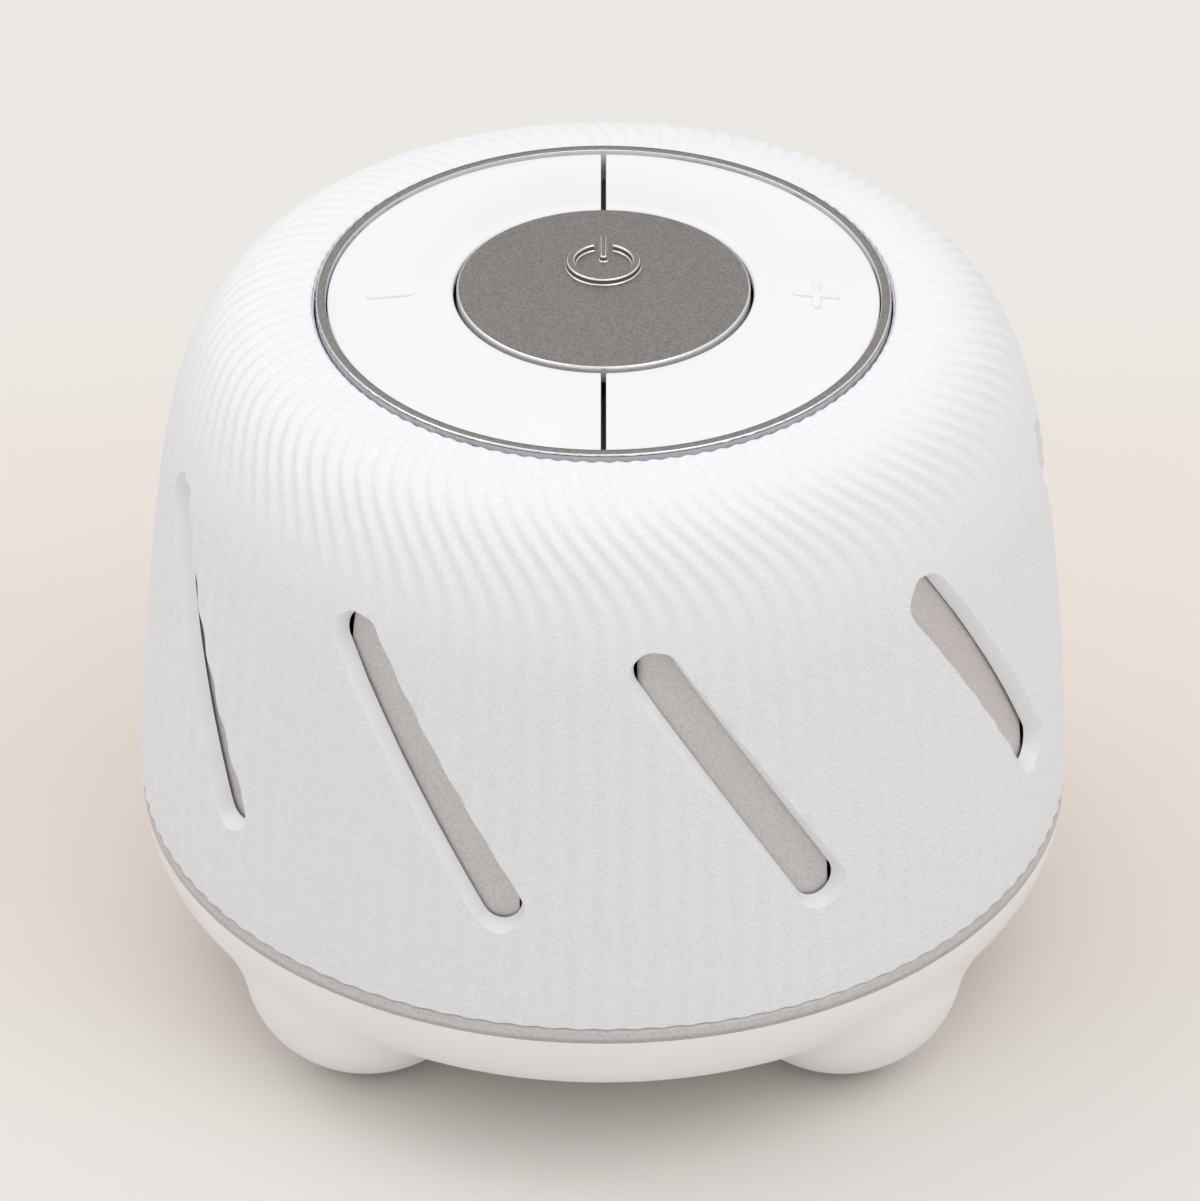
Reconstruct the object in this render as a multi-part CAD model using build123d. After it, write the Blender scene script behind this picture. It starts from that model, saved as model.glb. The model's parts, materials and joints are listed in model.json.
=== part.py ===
from build123d import *
from math import cos, radians, sin, sqrt
import os

# A fan-type white noise machine.  Millimetres, +Z up, origin on the table under the middle
# of the machine, front at -Y.  An azimuth is counted from the front, positive towards +X.

# ---------------------------------------------------------------- clearances
TURN_GAP = 0.4            # between the turning cover and the drum inside it
SLIDE_GAP = 0.1           # round a button's guide post
SEAT_GAP = 0.2            # round a spigot, a plate or a pad in its seat
SHAFT_GAP = 0.03          # round the motor shaft and what is pushed on it
SCREW_GAP = 0.05          # between a screw's shank and its hole
FACE_GAP = 0.05           # between flat faces that slide on each other
OVER = 1.0                # how far a cutting form runs past the face it opens
EMBED = 0.5               # how far a boss or post reaches into the piece it grows from
SKIN = 1.0                # what a blind hole leaves of the wall behind it

# ---------------------------------------------------------------- outer cover
COVER_FOOT_Z = 30.0       # lower edge of the cover above the table
COVER_FOOT_R = 70.0
COVER_WAIST_IN = 2.2      # how far the waist stands in from the foot, and so on upwards
COVER_WAIST_H = 32.5      # heights on the cover are above its lower edge
COVER_CHEST_IN = 5.1
COVER_CHEST_H = 56.0
COVER_SHOULDER_IN = 9.4
COVER_SHOULDER_H = 70.8
COVER_BROW_IN = 14.6
COVER_BROW_H = 77.5
COVER_RIM_R = 42.7
COVER_RIM_H = 81.2
COVER_FOOT_LEAN = -0.03   # radius lost per unit of height at the foot
COVER_RIM_RISE = 0.13     # height gained per unit of radius lost at the rim
COVER_WALL = 2.5
OUTLINE_STEPS = 10        # points carried over when the outline is moved inwards

SLOT_COUNT = 9
SLOT_AZIMUTH = 17.0       # middle of the first slot to the right of the front
SLOT_MID_H = 39.6
SLOT_LENGTH = 51.4
SLOT_WIDTH = 8.0
SLOT_SLANT = 32.0
SLOT_FLARE = 0.36         # sideways growth of the slot wall per unit of depth

LUG_COUNT = 3
LUG_AZIMUTH = 0.0
LUG_ARC = 12.0
LUG_HEIGHT = 2.0
LUG_REACH = 1.7           # how far a lug reaches into the drum's pocket
LUG_LIFT = 3.2            # underside of a lug above the cover's lower edge
COVER_TURN = 20.0         # full turn of the cover, from closed to open

# ---------------------------------------------------------------- inner drum
DRUM_WALL = 2.0
BAND_IN = 0.1             # the bright band stands in from the cover's lower edge
BAND_HEIGHT = 2.25
BAND_GAP = 0.35           # dark line between band and cover
SPIGOT_DEPTH = 1.8
SPIGOT_WALL = 2.0
WINDOW_ARC = 15.5
WINDOW_SHIFT = 19.4       # a window's middle from the nearest slot's middle
WINDOW_LOW_H = 15.0
WINDOW_HIGH_H = 64.0
POCKET_WALL = 1.4
POCKET_END_GAP = 0.3      # degrees between a lug and its pocket's end
LEDGE_INNER_R = 34.5
LEDGE_THICK = 2.5
EAR_WIDTH = 12.0
EAR_THICK = 3.0
EAR_BOSS_R = 3.6
EAR_BOSS_HEIGHT = 5.5

# ---------------------------------------------------------------- base shell
BASE_WALL = 2.5
BELLY_IN = 23.9           # the flat underside starts this far inside the bowl's edge
BELLY_Z = 9.7
LOBE_COUNT = 4
LOBE_AZIMUTH = 45.0
LOBE_IN = 19.9            # middle of a foot inside the bowl's edge
LOBE_R = 18.3
LOBE_MID_Z = 17.0
LOBE_HALF_HEIGHT = 16.6
LOBE_FLOOR = 4.0
LOBE_CUT_Z = 1.8
LOBE_BLEND_R = 12.0       # hollow round between a foot and the bowl
PAD_R = 6.2
PAD_RECESS = 0.8
PAD_EDGE_R = 0.5
BASE_BOSS_R = 4.4
BASE_SCREW_HEAD_Z = 8.0

POST_COUNT = 3
POST_PLACE_R = 30.0
POST_R = 3.6
POST_TOP_Z = 40.5
POST_HOLE_DEPTH = 14.0
POST_SCREW_DEPTH = 12.0

INTAKE_HOLE_R = 21.0
GRILLE_R = 27.0
GRILLE_THICK = 1.6
GRILLE_SLOTS = 12
GRILLE_SLOT_WIDTH = 2.2
GRILLE_SLOT_OUTER_R = 19.0
GRILLE_SLOT_INNER_R = 7.5
GRILLE_SHORT_INNER_R = 13.0
GRILLE_SCREWS = 3
GRILLE_SCREW_AZIMUTH = 60.0
GRILLE_SCREW_PLACE_R = 24.0
GRILLE_BOSS_R = 2.4
GRILLE_BOSS_HEIGHT = 5.0

# ---------------------------------------------------------------- power inlet
JACK_Z = 18.8
WELL_R = 5.4              # round well that takes the plug's grip
WELL_WALL = 1.2
WELL_DEPTH = 16.9
WELL_FLOOR_THICK = 1.5
JACK_WIDTH = 9.0
JACK_LENGTH = 12.5
JACK_FEET = 0.5           # the jack's body stands off its board by this much
JACK_NOSE_R = 3.9
JACK_BORE_R = 2.75
JACK_BORE_DEPTH = 9.5
JACK_PIN_R = 1.05
JACK_PIN_LENGTH = 8.0
JACK_PIN_ROOT = 2.0
JACK_BOARD_WIDTH = 22.0
JACK_BOARD_FRONT = 5.0    # how far the board reaches in front of the jack
JACK_BOARD_SCREW_X = 8.4
JACK_BOARD_BOSS_R = 2.2
JACK_SCREW_SKIN = 1.5

# ---------------------------------------------------------------- top: deck, ring, buttons
DECK_TUCK = 0.3           # the deck reaches this far under the cover's rim
DECK_THICK = 2.0
DECK_DROP = 3.7           # top of the deck under the cover's rim
DECK_SKIN = 0.6           # deck left over the standoffs' screw holes
DECK_SCREWS = 4
DECK_SCREW_AZIMUTH = 45.0
DECK_SCREW_PLACE_R = 39.0
RING_GAP = 0.5            # between the cover's rim and the ring
RING_WIDTH = 1.45
RING_RISE = 0.55          # top of the ring over the cover's rim
RING_FOOT_INNER_R = 38.8
RING_FOOT_THICK = 0.7
RING_CHAMFER = 0.25
RING_PINS = 6
RING_PIN_AZIMUTH = 30.0
RING_PIN_R = 0.8
RING_PIN_PLACE_R = 41.5
RING_PIN_LENGTH = 1.8

BUTTON_GAP = 0.25         # between the ring and the side buttons
BUTTON_INNER_R = 22.05
BUTTON_SPLIT = 0.75
BUTTON_OUTER_RISE = 0.0   # the side buttons' hollow top over the cover's rim, from its edge
BUTTON_MIDDLE_RISE = 0.55
BUTTON_INNER_RISE = 1.75  # to the power button
BUTTON_THICK = 1.8
BUTTON_CORNER_R = 1.2
BUTTON_BEVEL = 0.65       # towards the power button
BUTTON_BEVEL_DROP = 0.35
BUTTON_TRAVEL = 0.5
GLYPH_PLACE_R = 31.6
GLYPH_LENGTH = 6.8
GLYPH_WIDTH = 1.3
GLYPH_END_R = 0.58
GLYPH_RAISE = 0.3

POWER_GAP = 0.5          # between the side buttons and the power button
POWER_RISE = 2.05         # top of the power button over the cover's rim
POWER_THICK = 2.6
POWER_CROWN = 1.8
POWER_SKIRT = 1.6
POWER_EDGE_R = 0.5
SYMBOL_SHIFT = 6.6        # middle of the power sign, behind the button's middle
SYMBOL_R = 5.4
SYMBOL_LINE = 0.9
SYMBOL_BAR = 7.1
SYMBOL_GAP = 34.0         # degrees left open at the back of the sign's ring
SYMBOL_RAISE = 0.8
SYMBOL_ROOT = 0.3         # how far the sign reaches down into its button

GUIDE_R = 1.6
GUIDE_PLACE_R = 30.0
GUIDE_SPREAD = 50.0       # degrees from a button's middle to its guide posts
POWER_GUIDES = 3
POWER_GUIDE_PLACE_R = 15.0
BARB_R = 2.1
BARB_HEIGHT = 1.2
PLUNGER_R = 2.0
PLUNGER_GAP = 0.3
SWITCH_PLACE_R = 27.0

BOARD_R = 33.0
BOARD_THICK = 1.6
BOARD_DROP = 3.9          # top of the board below the deck
BOARD_SCREWS = 3
BOARD_SCREW_PLACE_R = 28.0
STANDOFF_R = 2.6
SWITCH_SIZE = 6.0
SWITCH_HEIGHT = 2.6
STEM_R = 1.7
STEM_GAP = 0.1            # left between a plunger and its switch stem at full travel
STEM_HEIGHT = 0.7
CONTROL_CHIP_SIZE = 7.0
CONTROL_CHIP_HEIGHT = 1.2
CONTROL_CHIP_X = -11.0
DRIVER_CHIP_WIDTH = 5.0
DRIVER_CHIP_DEPTH = 6.0
DRIVER_CHIP_HEIGHT = 1.6
DRIVER_CHIP_X = 9.5
CAPACITOR_R = 3.15
CAPACITOR_HEIGHT = 7.5
CAPACITOR_EDGE_R = 0.5
CAPACITOR_X = 10.0
CAPACITOR_Y = -16.0

# ---------------------------------------------------------------- motor and fan
MOTOR_R = 13.85
MOTOR_TOP_Z = 42.0
MOTOR_LENGTH = 24.0
MOTOR_WALL = 1.0
END_CAP_THICK = 2.5
END_CAP_FLOOR = 1.0       # end cap left under the shaft's bearing
END_CAP_SPIGOT = 1.0
BEARING_R = 3.5
BEARING_RISE = 2.5
SHAFT_R = 1.5
SHAFT_TOP_Z = 80.0
ROTOR_R = 9.0
ROTOR_LENGTH = 12.0
ROTOR_LOW_Z = 24.0
ROTOR_SLOTS = 3
ROTOR_SLOT_R = 1.2
MAGNET_THICK = 3.0
MAGNET_GAP = 0.5
MAGNET_ARC = 150.0
MAGNET_OVERHANG = 1.0     # the magnets are longer than the rotor core at each end
COMMUTATOR_R = 3.0
COMMUTATOR_LENGTH = 4.5
TERMINAL_SIZE = 1.6
TERMINAL_THICK = 0.8
TERMINAL_REACH = 2.0
BRACKET_THICK = 1.5
BRACKET_R = 17.0
BRACKET_ARM = 13.0
MOTOR_SCREW_PLACE_R = 8.0
GROMMET_R = 6.0
GROMMET_NECK_R = 4.4
GROMMET_BORE_R = 2.2
GROMMET_LIP = 1.5

FAN_R = 48.0
FAN_EYE_R = 25.0
FAN_LOW_Z = 52.0
FAN_TOP_Z = 78.0
FAN_DISC = 2.0
FAN_RING = 1.5
FAN_RING_WIDTH = 4.0
FAN_BLADES = 8
FAN_BLADE_THICK = 1.5
FAN_BLADE_LEAN = 25.0
FAN_BLADE_SHIFT = 1.0     # blades sit this much inside the middle of their ring
FAN_HUB_R = 5.0
FAN_HUB_LENGTH = 20.0
PUSH_NUT_R = 4.0
PUSH_NUT_THICK = 1.0

# ---------------------------------------------------------------- screws and wires
SCREW_R = 1.45
SCREW_HEAD_R = 2.7
SCREW_HEAD_HEIGHT = 1.8
SMALL_SCREW_R = 0.95
SMALL_HEAD_R = 1.8
SMALL_HEAD_HEIGHT = 0.9
POST_HEAD_R = 3.7         # washer head that holds a grommet
CROSS_SHARE = 0.6         # length of a screw's cross over its head
CROSS_WIDTH = 0.5
WIRE_R = 0.7
WIRE_PITCH = 1.7
WIRE_CLIP_GAP = 0.1
WIRE_BEND_R = 2.8
WIRE_HANG = 9.0           # the wires reach the wall this far under the lower clips
WIRE_TURN_IN = 4.8        # and leave it this far under the connectors
WIRE_LIFT = 9.0           # height of the wires' first rise over the inlet's axis
CLIP_HEIGHT = 3.0
CLIP_LOW_Z = 53.0
CLIP_HIGH_Z = 78.0
CLIP_MARGIN = 1.4
CONNECTOR_HEIGHT = 6.0
CONNECTOR_DEPTH = 5.0
CONNECTOR_WIDTH = 5.2
CONNECTOR_GAP = 0.4
CONNECTOR_Y = 21.0

# ---------------------------------------------------------------- worked-out places
COVER_WAIST_R = COVER_FOOT_R - COVER_WAIST_IN
COVER_CHEST_R = COVER_FOOT_R - COVER_CHEST_IN
COVER_SHOULDER_R = COVER_FOOT_R - COVER_SHOULDER_IN
COVER_BROW_R = COVER_FOOT_R - COVER_BROW_IN
COVER_INSET = COVER_WALL + TURN_GAP
COVER_RIM_Z = COVER_FOOT_Z + COVER_RIM_H
BAND_R = COVER_FOOT_R - BAND_IN
BAND_TOP_Z = COVER_FOOT_Z - BAND_GAP
BASE_TOP_Z = BAND_TOP_Z - BAND_HEIGHT
DECK_R = COVER_RIM_R + DECK_TUCK
DECK_TOP_Z = COVER_RIM_Z - DECK_DROP
DECK_LOW_Z = DECK_TOP_Z - DECK_THICK
RING_OUTER_R = COVER_RIM_R - RING_GAP
RING_INNER_R = RING_OUTER_R - RING_WIDTH
RING_TOP_Z = COVER_RIM_Z + RING_RISE
BUTTON_OUTER_R = RING_INNER_R - BUTTON_GAP
POWER_R = BUTTON_INNER_R - POWER_GAP
POWER_TOP_Z = COVER_RIM_Z + POWER_RISE
POWER_LOW_Z = POWER_TOP_Z - POWER_THICK
BOARD_TOP_Z = DECK_LOW_Z - BOARD_DROP
BOARD_LOW_Z = BOARD_TOP_Z - BOARD_THICK
STEM_TOP_Z = BOARD_TOP_Z + SWITCH_HEIGHT + STEM_HEIGHT
PLUNGER_LOW_Z = STEM_TOP_Z + BUTTON_TRAVEL + STEM_GAP
BASE_FLOOR_Z = BELLY_Z + BASE_WALL
BASE_BOWL_R = BAND_R
BELLY_R = BASE_BOWL_R - BELLY_IN
LOBE_PLACE_R = BASE_BOWL_R - LOBE_IN
WELL_FLOOR_Y = BASE_BOWL_R - WELL_DEPTH
EAR_TOP_Z = BASE_TOP_Z + EAR_THICK
MOTOR_LOW_Z = MOTOR_TOP_Z - MOTOR_LENGTH
BRACKET_TOP_Z = MOTOR_TOP_Z + BRACKET_THICK
GROMMET_TOP_Z = BRACKET_TOP_Z + GROMMET_LIP
JACK_BOARD_TOP_Z = JACK_Z - JACK_WIDTH / 2 - JACK_FEET
JACK_BACK_Y = WELL_FLOOR_Y - WELL_FLOOR_THICK
JACK_FRONT_Y = JACK_BACK_Y - JACK_LENGTH
SLOT_PITCH = 360 / SLOT_COUNT
WEB_AZIMUTH = SLOT_AZIMUTH + WINDOW_SHIFT + 3.5 * SLOT_PITCH
WIRE_MIDDLE_X = -(COVER_WAIST_R - COVER_INSET) * sin(radians(WEB_AZIMUTH + 180))
CONNECTOR_LOW_Z = BOARD_LOW_Z - CONNECTOR_HEIGHT


# ---------------------------------------------------------------- helpers
def round_place(radius, azimuth, z=0.0):
    """A point at a radius and an azimuth."""
    return Vector(radius * sin(radians(azimuth)), -radius * cos(radians(azimuth)), z)


def azimuths(count, first=0.0):
    """Evenly spaced azimuths, the first one given."""
    return [first + 360 / count * step for step in range(count)]


def disc(radius, low, high, x=0.0, y=0.0):
    """An upright cylinder between two heights."""
    middle = Pos(x, y, (low + high) / 2)
    return middle * Cylinder(radius, high - low)


def tube(outer, inner, low, high, x=0.0, y=0.0):
    """An upright tube between two heights."""
    return disc(outer, low, high, x, y) - disc(inner, low - OVER, high + OVER, x, y)


def block(x0, x1, y0, y1, z0, z1):
    """A box between two corners."""
    middle = Pos((x0 + x1) / 2, (y0 + y1) / 2, (z0 + z1) / 2)
    return middle * Box(x1 - x0, y1 - y0, z1 - z0)


def rod(radius, y0, y1, z, x=0.0):
    """A cylinder along Y."""
    return Pos(x, (y0 + y1) / 2, z) * Rot(90, 0, 0) * Cylinder(radius, y1 - y0)


def sector(inner, outer, low, high, azimuth, arc):
    """Part of a ring, arc degrees wide, with its middle at an azimuth."""
    face = Plane.XZ * Pos((inner + outer) / 2, (low + high) / 2) * Rectangle(outer - inner, high - low)
    piece = revolve(face, Axis.Z, arc)
    return Rot(0, 0, azimuth - 90 - arc / 2) * piece


def screw(radius, head_r, head_height, place, seat, tip):
    """An upright screw: its head stands off its seat, away from its tip."""
    away = 1 if seat > tip else -1
    low, high = sorted((seat, tip))
    shank = disc(radius, low, high, place.X, place.Y)
    head_low, head_high = sorted((seat, seat + away * head_height))
    head = disc(head_r, head_low, head_high, place.X, place.Y)
    slot_low, slot_high = sorted((seat + away * head_height / 2, seat + away * (head_height + OVER)))
    reach = head_r * CROSS_SHARE
    cross = block(-reach, reach, -CROSS_WIDTH / 2, CROSS_WIDTH / 2, slot_low, slot_high)
    cross += Rot(0, 0, 90) * cross
    return shank + head - Pos(place.X, place.Y) * cross


# ---------------------------------------------------------------- the domed outline
def outer_line():
    """The cover's outer line, from its foot to its rim."""
    points = [
        (COVER_FOOT_R, 0, COVER_FOOT_Z),
        (COVER_WAIST_R, 0, COVER_FOOT_Z + COVER_WAIST_H),
        (COVER_CHEST_R, 0, COVER_FOOT_Z + COVER_CHEST_H),
        (COVER_SHOULDER_R, 0, COVER_FOOT_Z + COVER_SHOULDER_H),
        (COVER_BROW_R, 0, COVER_FOOT_Z + COVER_BROW_H),
        (COVER_RIM_R, 0, COVER_FOOT_Z + COVER_RIM_H),
    ]
    return Spline(*points, tangents=[(COVER_FOOT_LEAN, 0, 1), (-1, 0, COVER_RIM_RISE)])


def dome_points(inset):
    """Points of the cover's outer line moved inwards."""
    line = outer_line()
    points = []
    for step in range(OUTLINE_STEPS + 1):
        place = line @ (step / OUTLINE_STEPS)
        way = line % (step / OUTLINE_STEPS)
        points.append(place + Vector(-way.Z, 0, way.X) * inset)
    points[0] = Vector(points[0].X, 0, COVER_FOOT_Z)
    return points


def dome(inset):
    """The filled form inside the cover's outer line moved inwards."""
    points = dome_points(inset)
    line = Spline(*points) if inset else outer_line()
    foot, top = points[0], points[-1]
    rest = Polyline((top.X, 0, top.Z), (0, 0, top.Z), (0, 0, foot.Z), (foot.X, 0, foot.Z))
    return revolve(make_face([line, *rest.edges()]), Axis.Z)


def cover_lean():
    """How much radius the cover's side loses per unit of height."""
    return (COVER_WAIST_R - COVER_CHEST_R) / (COVER_CHEST_H - COVER_WAIST_H)


def cover_reach(height):
    """Outer radius of the cover's leaning side at a height above its lower edge."""
    return COVER_WAIST_R - cover_lean() * (height - COVER_WAIST_H)


def drum_reach():
    """Outer radius of the drum's straight lower part."""
    return COVER_FOOT_R - COVER_INSET


# ---------------------------------------------------------------- cover
def slot_cutter(azimuth):
    """A slanted slot with flared walls, facing outwards at an azimuth."""
    depth = COVER_WALL * 3
    face_r = cover_reach(SLOT_MID_H)
    place = round_place(face_r, azimuth, COVER_FOOT_Z + SLOT_MID_H)
    out = Vector(place.X, place.Y, cover_lean() * face_r).normalized()
    side = Vector(-out.Y, out.X, 0).normalized()
    front = Plane(origin=place, x_dir=side, z_dir=out)
    faces = []
    for shift in (-depth, depth):
        grow = 2 * SLOT_FLARE * shift
        width = SLOT_WIDTH + grow
        sketch = Rot(0, 0, 90 + SLOT_SLANT) * SlotOverall(SLOT_LENGTH + grow, width)
        faces.append(front.offset(shift) * sketch)
    return loft(faces)


def make_outer_cover():
    shell = dome(0) - dome(COVER_WALL)
    shell -= disc(COVER_RIM_R, COVER_FOOT_Z, COVER_RIM_Z + OVER)
    for azimuth in azimuths(SLOT_COUNT, SLOT_AZIMUTH):
        shell -= slot_cutter(azimuth)
    inner = drum_reach() - LUG_REACH
    low = COVER_FOOT_Z + LUG_LIFT
    for azimuth in azimuths(LUG_COUNT, LUG_AZIMUTH):
        shell += sector(inner, COVER_FOOT_R - COVER_WALL / 2, low, low + LUG_HEIGHT, azimuth, LUG_ARC)
    return shell


# ---------------------------------------------------------------- drum
def ear_blank(azimuth, low, high):
    """A tab that reaches inwards from the drum over a foot's boss."""
    near = -drum_reach() + DRUM_WALL / 2
    tab = block(-EAR_WIDTH / 2, EAR_WIDTH / 2, near, -LOBE_PLACE_R, low, high)
    tab += disc(EAR_WIDTH / 2, low, high, 0, -LOBE_PLACE_R)
    return Rot(0, 0, azimuth) * tab


def wire_xs():
    """Where the four wires run side by side: two from the inlet, then two from the motor."""
    return [WIRE_MIDDLE_X + WIRE_PITCH * step for step in (-1.5, -0.5, 0.5, 1.5)]


def wire_y(z):
    """How far back the wires run at a height, along the leaning drum wall."""
    wall = cover_reach(z - COVER_FOOT_Z) - COVER_INSET - DRUM_WALL
    return wall - 2 * WIRE_R - CLIP_MARGIN


def make_inner_drum():
    drum = dome(COVER_INSET) - dome(COVER_INSET + DRUM_WALL)
    drum -= disc(DECK_R + SEAT_GAP, DECK_LOW_Z, DECK_TOP_Z + COVER_WALL + DRUM_WALL)
    reach = drum_reach()
    pocket_low = COVER_FOOT_Z + LUG_LIFT - FACE_GAP
    pocket_high = pocket_low + LUG_HEIGHT + 2 * TURN_GAP
    core_r = reach - LUG_REACH - TURN_GAP - POCKET_WALL
    drum += tube(reach - DRUM_WALL / 2, core_r, BAND_TOP_Z, pocket_high + POCKET_WALL)
    drum += tube(reach, core_r, BAND_TOP_Z - BAND_HEIGHT / 2, COVER_FOOT_Z + EMBED)
    drum += tube(BAND_R, core_r, BASE_TOP_Z, BAND_TOP_Z)
    spigot_r = BASE_BOWL_R - BASE_WALL - SEAT_GAP
    drum += tube(spigot_r, spigot_r - SPIGOT_WALL, BASE_TOP_Z - SPIGOT_DEPTH, BASE_TOP_Z)
    ledge = tube(reach, LEDGE_INNER_R, DECK_LOW_Z - LEDGE_THICK, DECK_LOW_Z)
    ledge += tube(reach, DECK_R + SEAT_GAP, DECK_LOW_Z - LEDGE_THICK / 2, DECK_TOP_Z)
    collar_r = DECK_R + 3 * DRUM_WALL
    ledge -= tube(reach + OVER, collar_r, DECK_LOW_Z, DECK_TOP_Z + OVER)
    drum += ledge & dome(COVER_INSET)
    for azimuth in azimuths(LOBE_COUNT, LOBE_AZIMUTH):
        drum += ear_blank(azimuth, BASE_TOP_Z, EAR_TOP_Z)
        place = round_place(LOBE_PLACE_R, azimuth)
        boss_top = EAR_TOP_Z + EAR_BOSS_HEIGHT
        drum += disc(EAR_BOSS_R, EAR_TOP_Z - EMBED, boss_top, place.X, place.Y)
        drum -= disc(SCREW_R + SCREW_GAP, BASE_TOP_Z - OVER, boss_top + OVER, place.X, place.Y)
    for azimuth in azimuths(SLOT_COUNT, SLOT_AZIMUTH + WINDOW_SHIFT):
        low = COVER_FOOT_Z + WINDOW_LOW_H
        high = COVER_FOOT_Z + WINDOW_HIGH_H
        drum -= sector(LEDGE_INNER_R, COVER_FOOT_R, low, high, azimuth, WINDOW_ARC)
    pocket_r = reach - LUG_REACH - TURN_GAP
    pocket_arc = LUG_ARC + COVER_TURN + 2 * POCKET_END_GAP
    for azimuth in azimuths(LUG_COUNT, LUG_AZIMUTH + COVER_TURN / 2):
        drum -= sector(pocket_r, COVER_FOOT_R, pocket_low, pocket_high, azimuth, pocket_arc)
    for azimuth in azimuths(DECK_SCREWS, DECK_SCREW_AZIMUTH):
        place = round_place(DECK_SCREW_PLACE_R, azimuth)
        low = DECK_LOW_Z - LEDGE_THICK - OVER
        drum -= disc(SMALL_SCREW_R + SCREW_GAP, low, DECK_TOP_Z, place.X, place.Y)
    for azimuth in azimuths(RING_PINS, RING_PIN_AZIMUTH):
        place = round_place(RING_PIN_PLACE_R, azimuth)
        drum -= disc(RING_PIN_R + SEAT_GAP, DECK_LOW_Z - OVER, DECK_TOP_Z, place.X, place.Y)
    for z in (CLIP_LOW_Z, CLIP_HIGH_Z):
        clip = block(
            wire_xs()[0] - WIRE_R - CLIP_MARGIN,
            wire_xs()[-1] + WIRE_R + CLIP_MARGIN,
            wire_y(z) - WIRE_R - CLIP_MARGIN,
            cover_reach(z - COVER_FOOT_Z),
            z - CLIP_HEIGHT / 2,
            z + CLIP_HEIGHT / 2,
        )
        drum += clip & dome(COVER_INSET + DRUM_WALL / 2)
    for x in wire_xs():
        drum -= sweep_wire(wire_route(x, True), WIRE_R + WIRE_CLIP_GAP)
    return drum


# ---------------------------------------------------------------- base
def bowl(inset):
    """The filled bowl of the base, moved inwards."""
    outer = BASE_BOWL_R - inset
    low = BELLY_Z + inset
    wide = outer - BELLY_R
    deep = BASE_TOP_Z - low
    side = Plane.XZ * EllipticalCenterArc((BELLY_R, BASE_TOP_Z), wide, deep, 270, arc_size=90)
    rest = Polyline((outer, 0, BASE_TOP_Z), (0, 0, BASE_TOP_Z), (0, 0, low), (BELLY_R, 0, low))
    return revolve(make_face([side.edge(), *rest.edges()]), Axis.Z)


def lobe(radius, half_height, azimuth):
    """A rounded foot: an upright ellipsoid, level at its top and its sole."""
    curve = Plane.XZ * EllipticalCenterArc((0, 0), radius, half_height, 270, arc_size=180)
    back = Line((0, 0, half_height), (0, 0, -half_height))
    place = round_place(LOBE_PLACE_R, azimuth, LOBE_MID_Z)
    whole_form = Pos(place) * revolve(make_face([curve.edge(), back.edge()]), Axis.Z)
    return whole_form & disc(2 * radius, LOBE_CUT_Z, BASE_TOP_Z, place.X, place.Y)


def base_form():
    """The outside of the base, filled."""
    form = bowl(0)
    for azimuth in azimuths(LOBE_COUNT, LOBE_AZIMUTH):
        form += lobe(LOBE_R, LOBE_HALF_HEIGHT, azimuth)
    between = (LOBE_CUT_Z + EMBED, BASE_TOP_Z - EMBED)
    seams = form.edges().filter_by_position(Axis.Z, *between)
    return fillet(seams, LOBE_BLEND_R)


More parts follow.
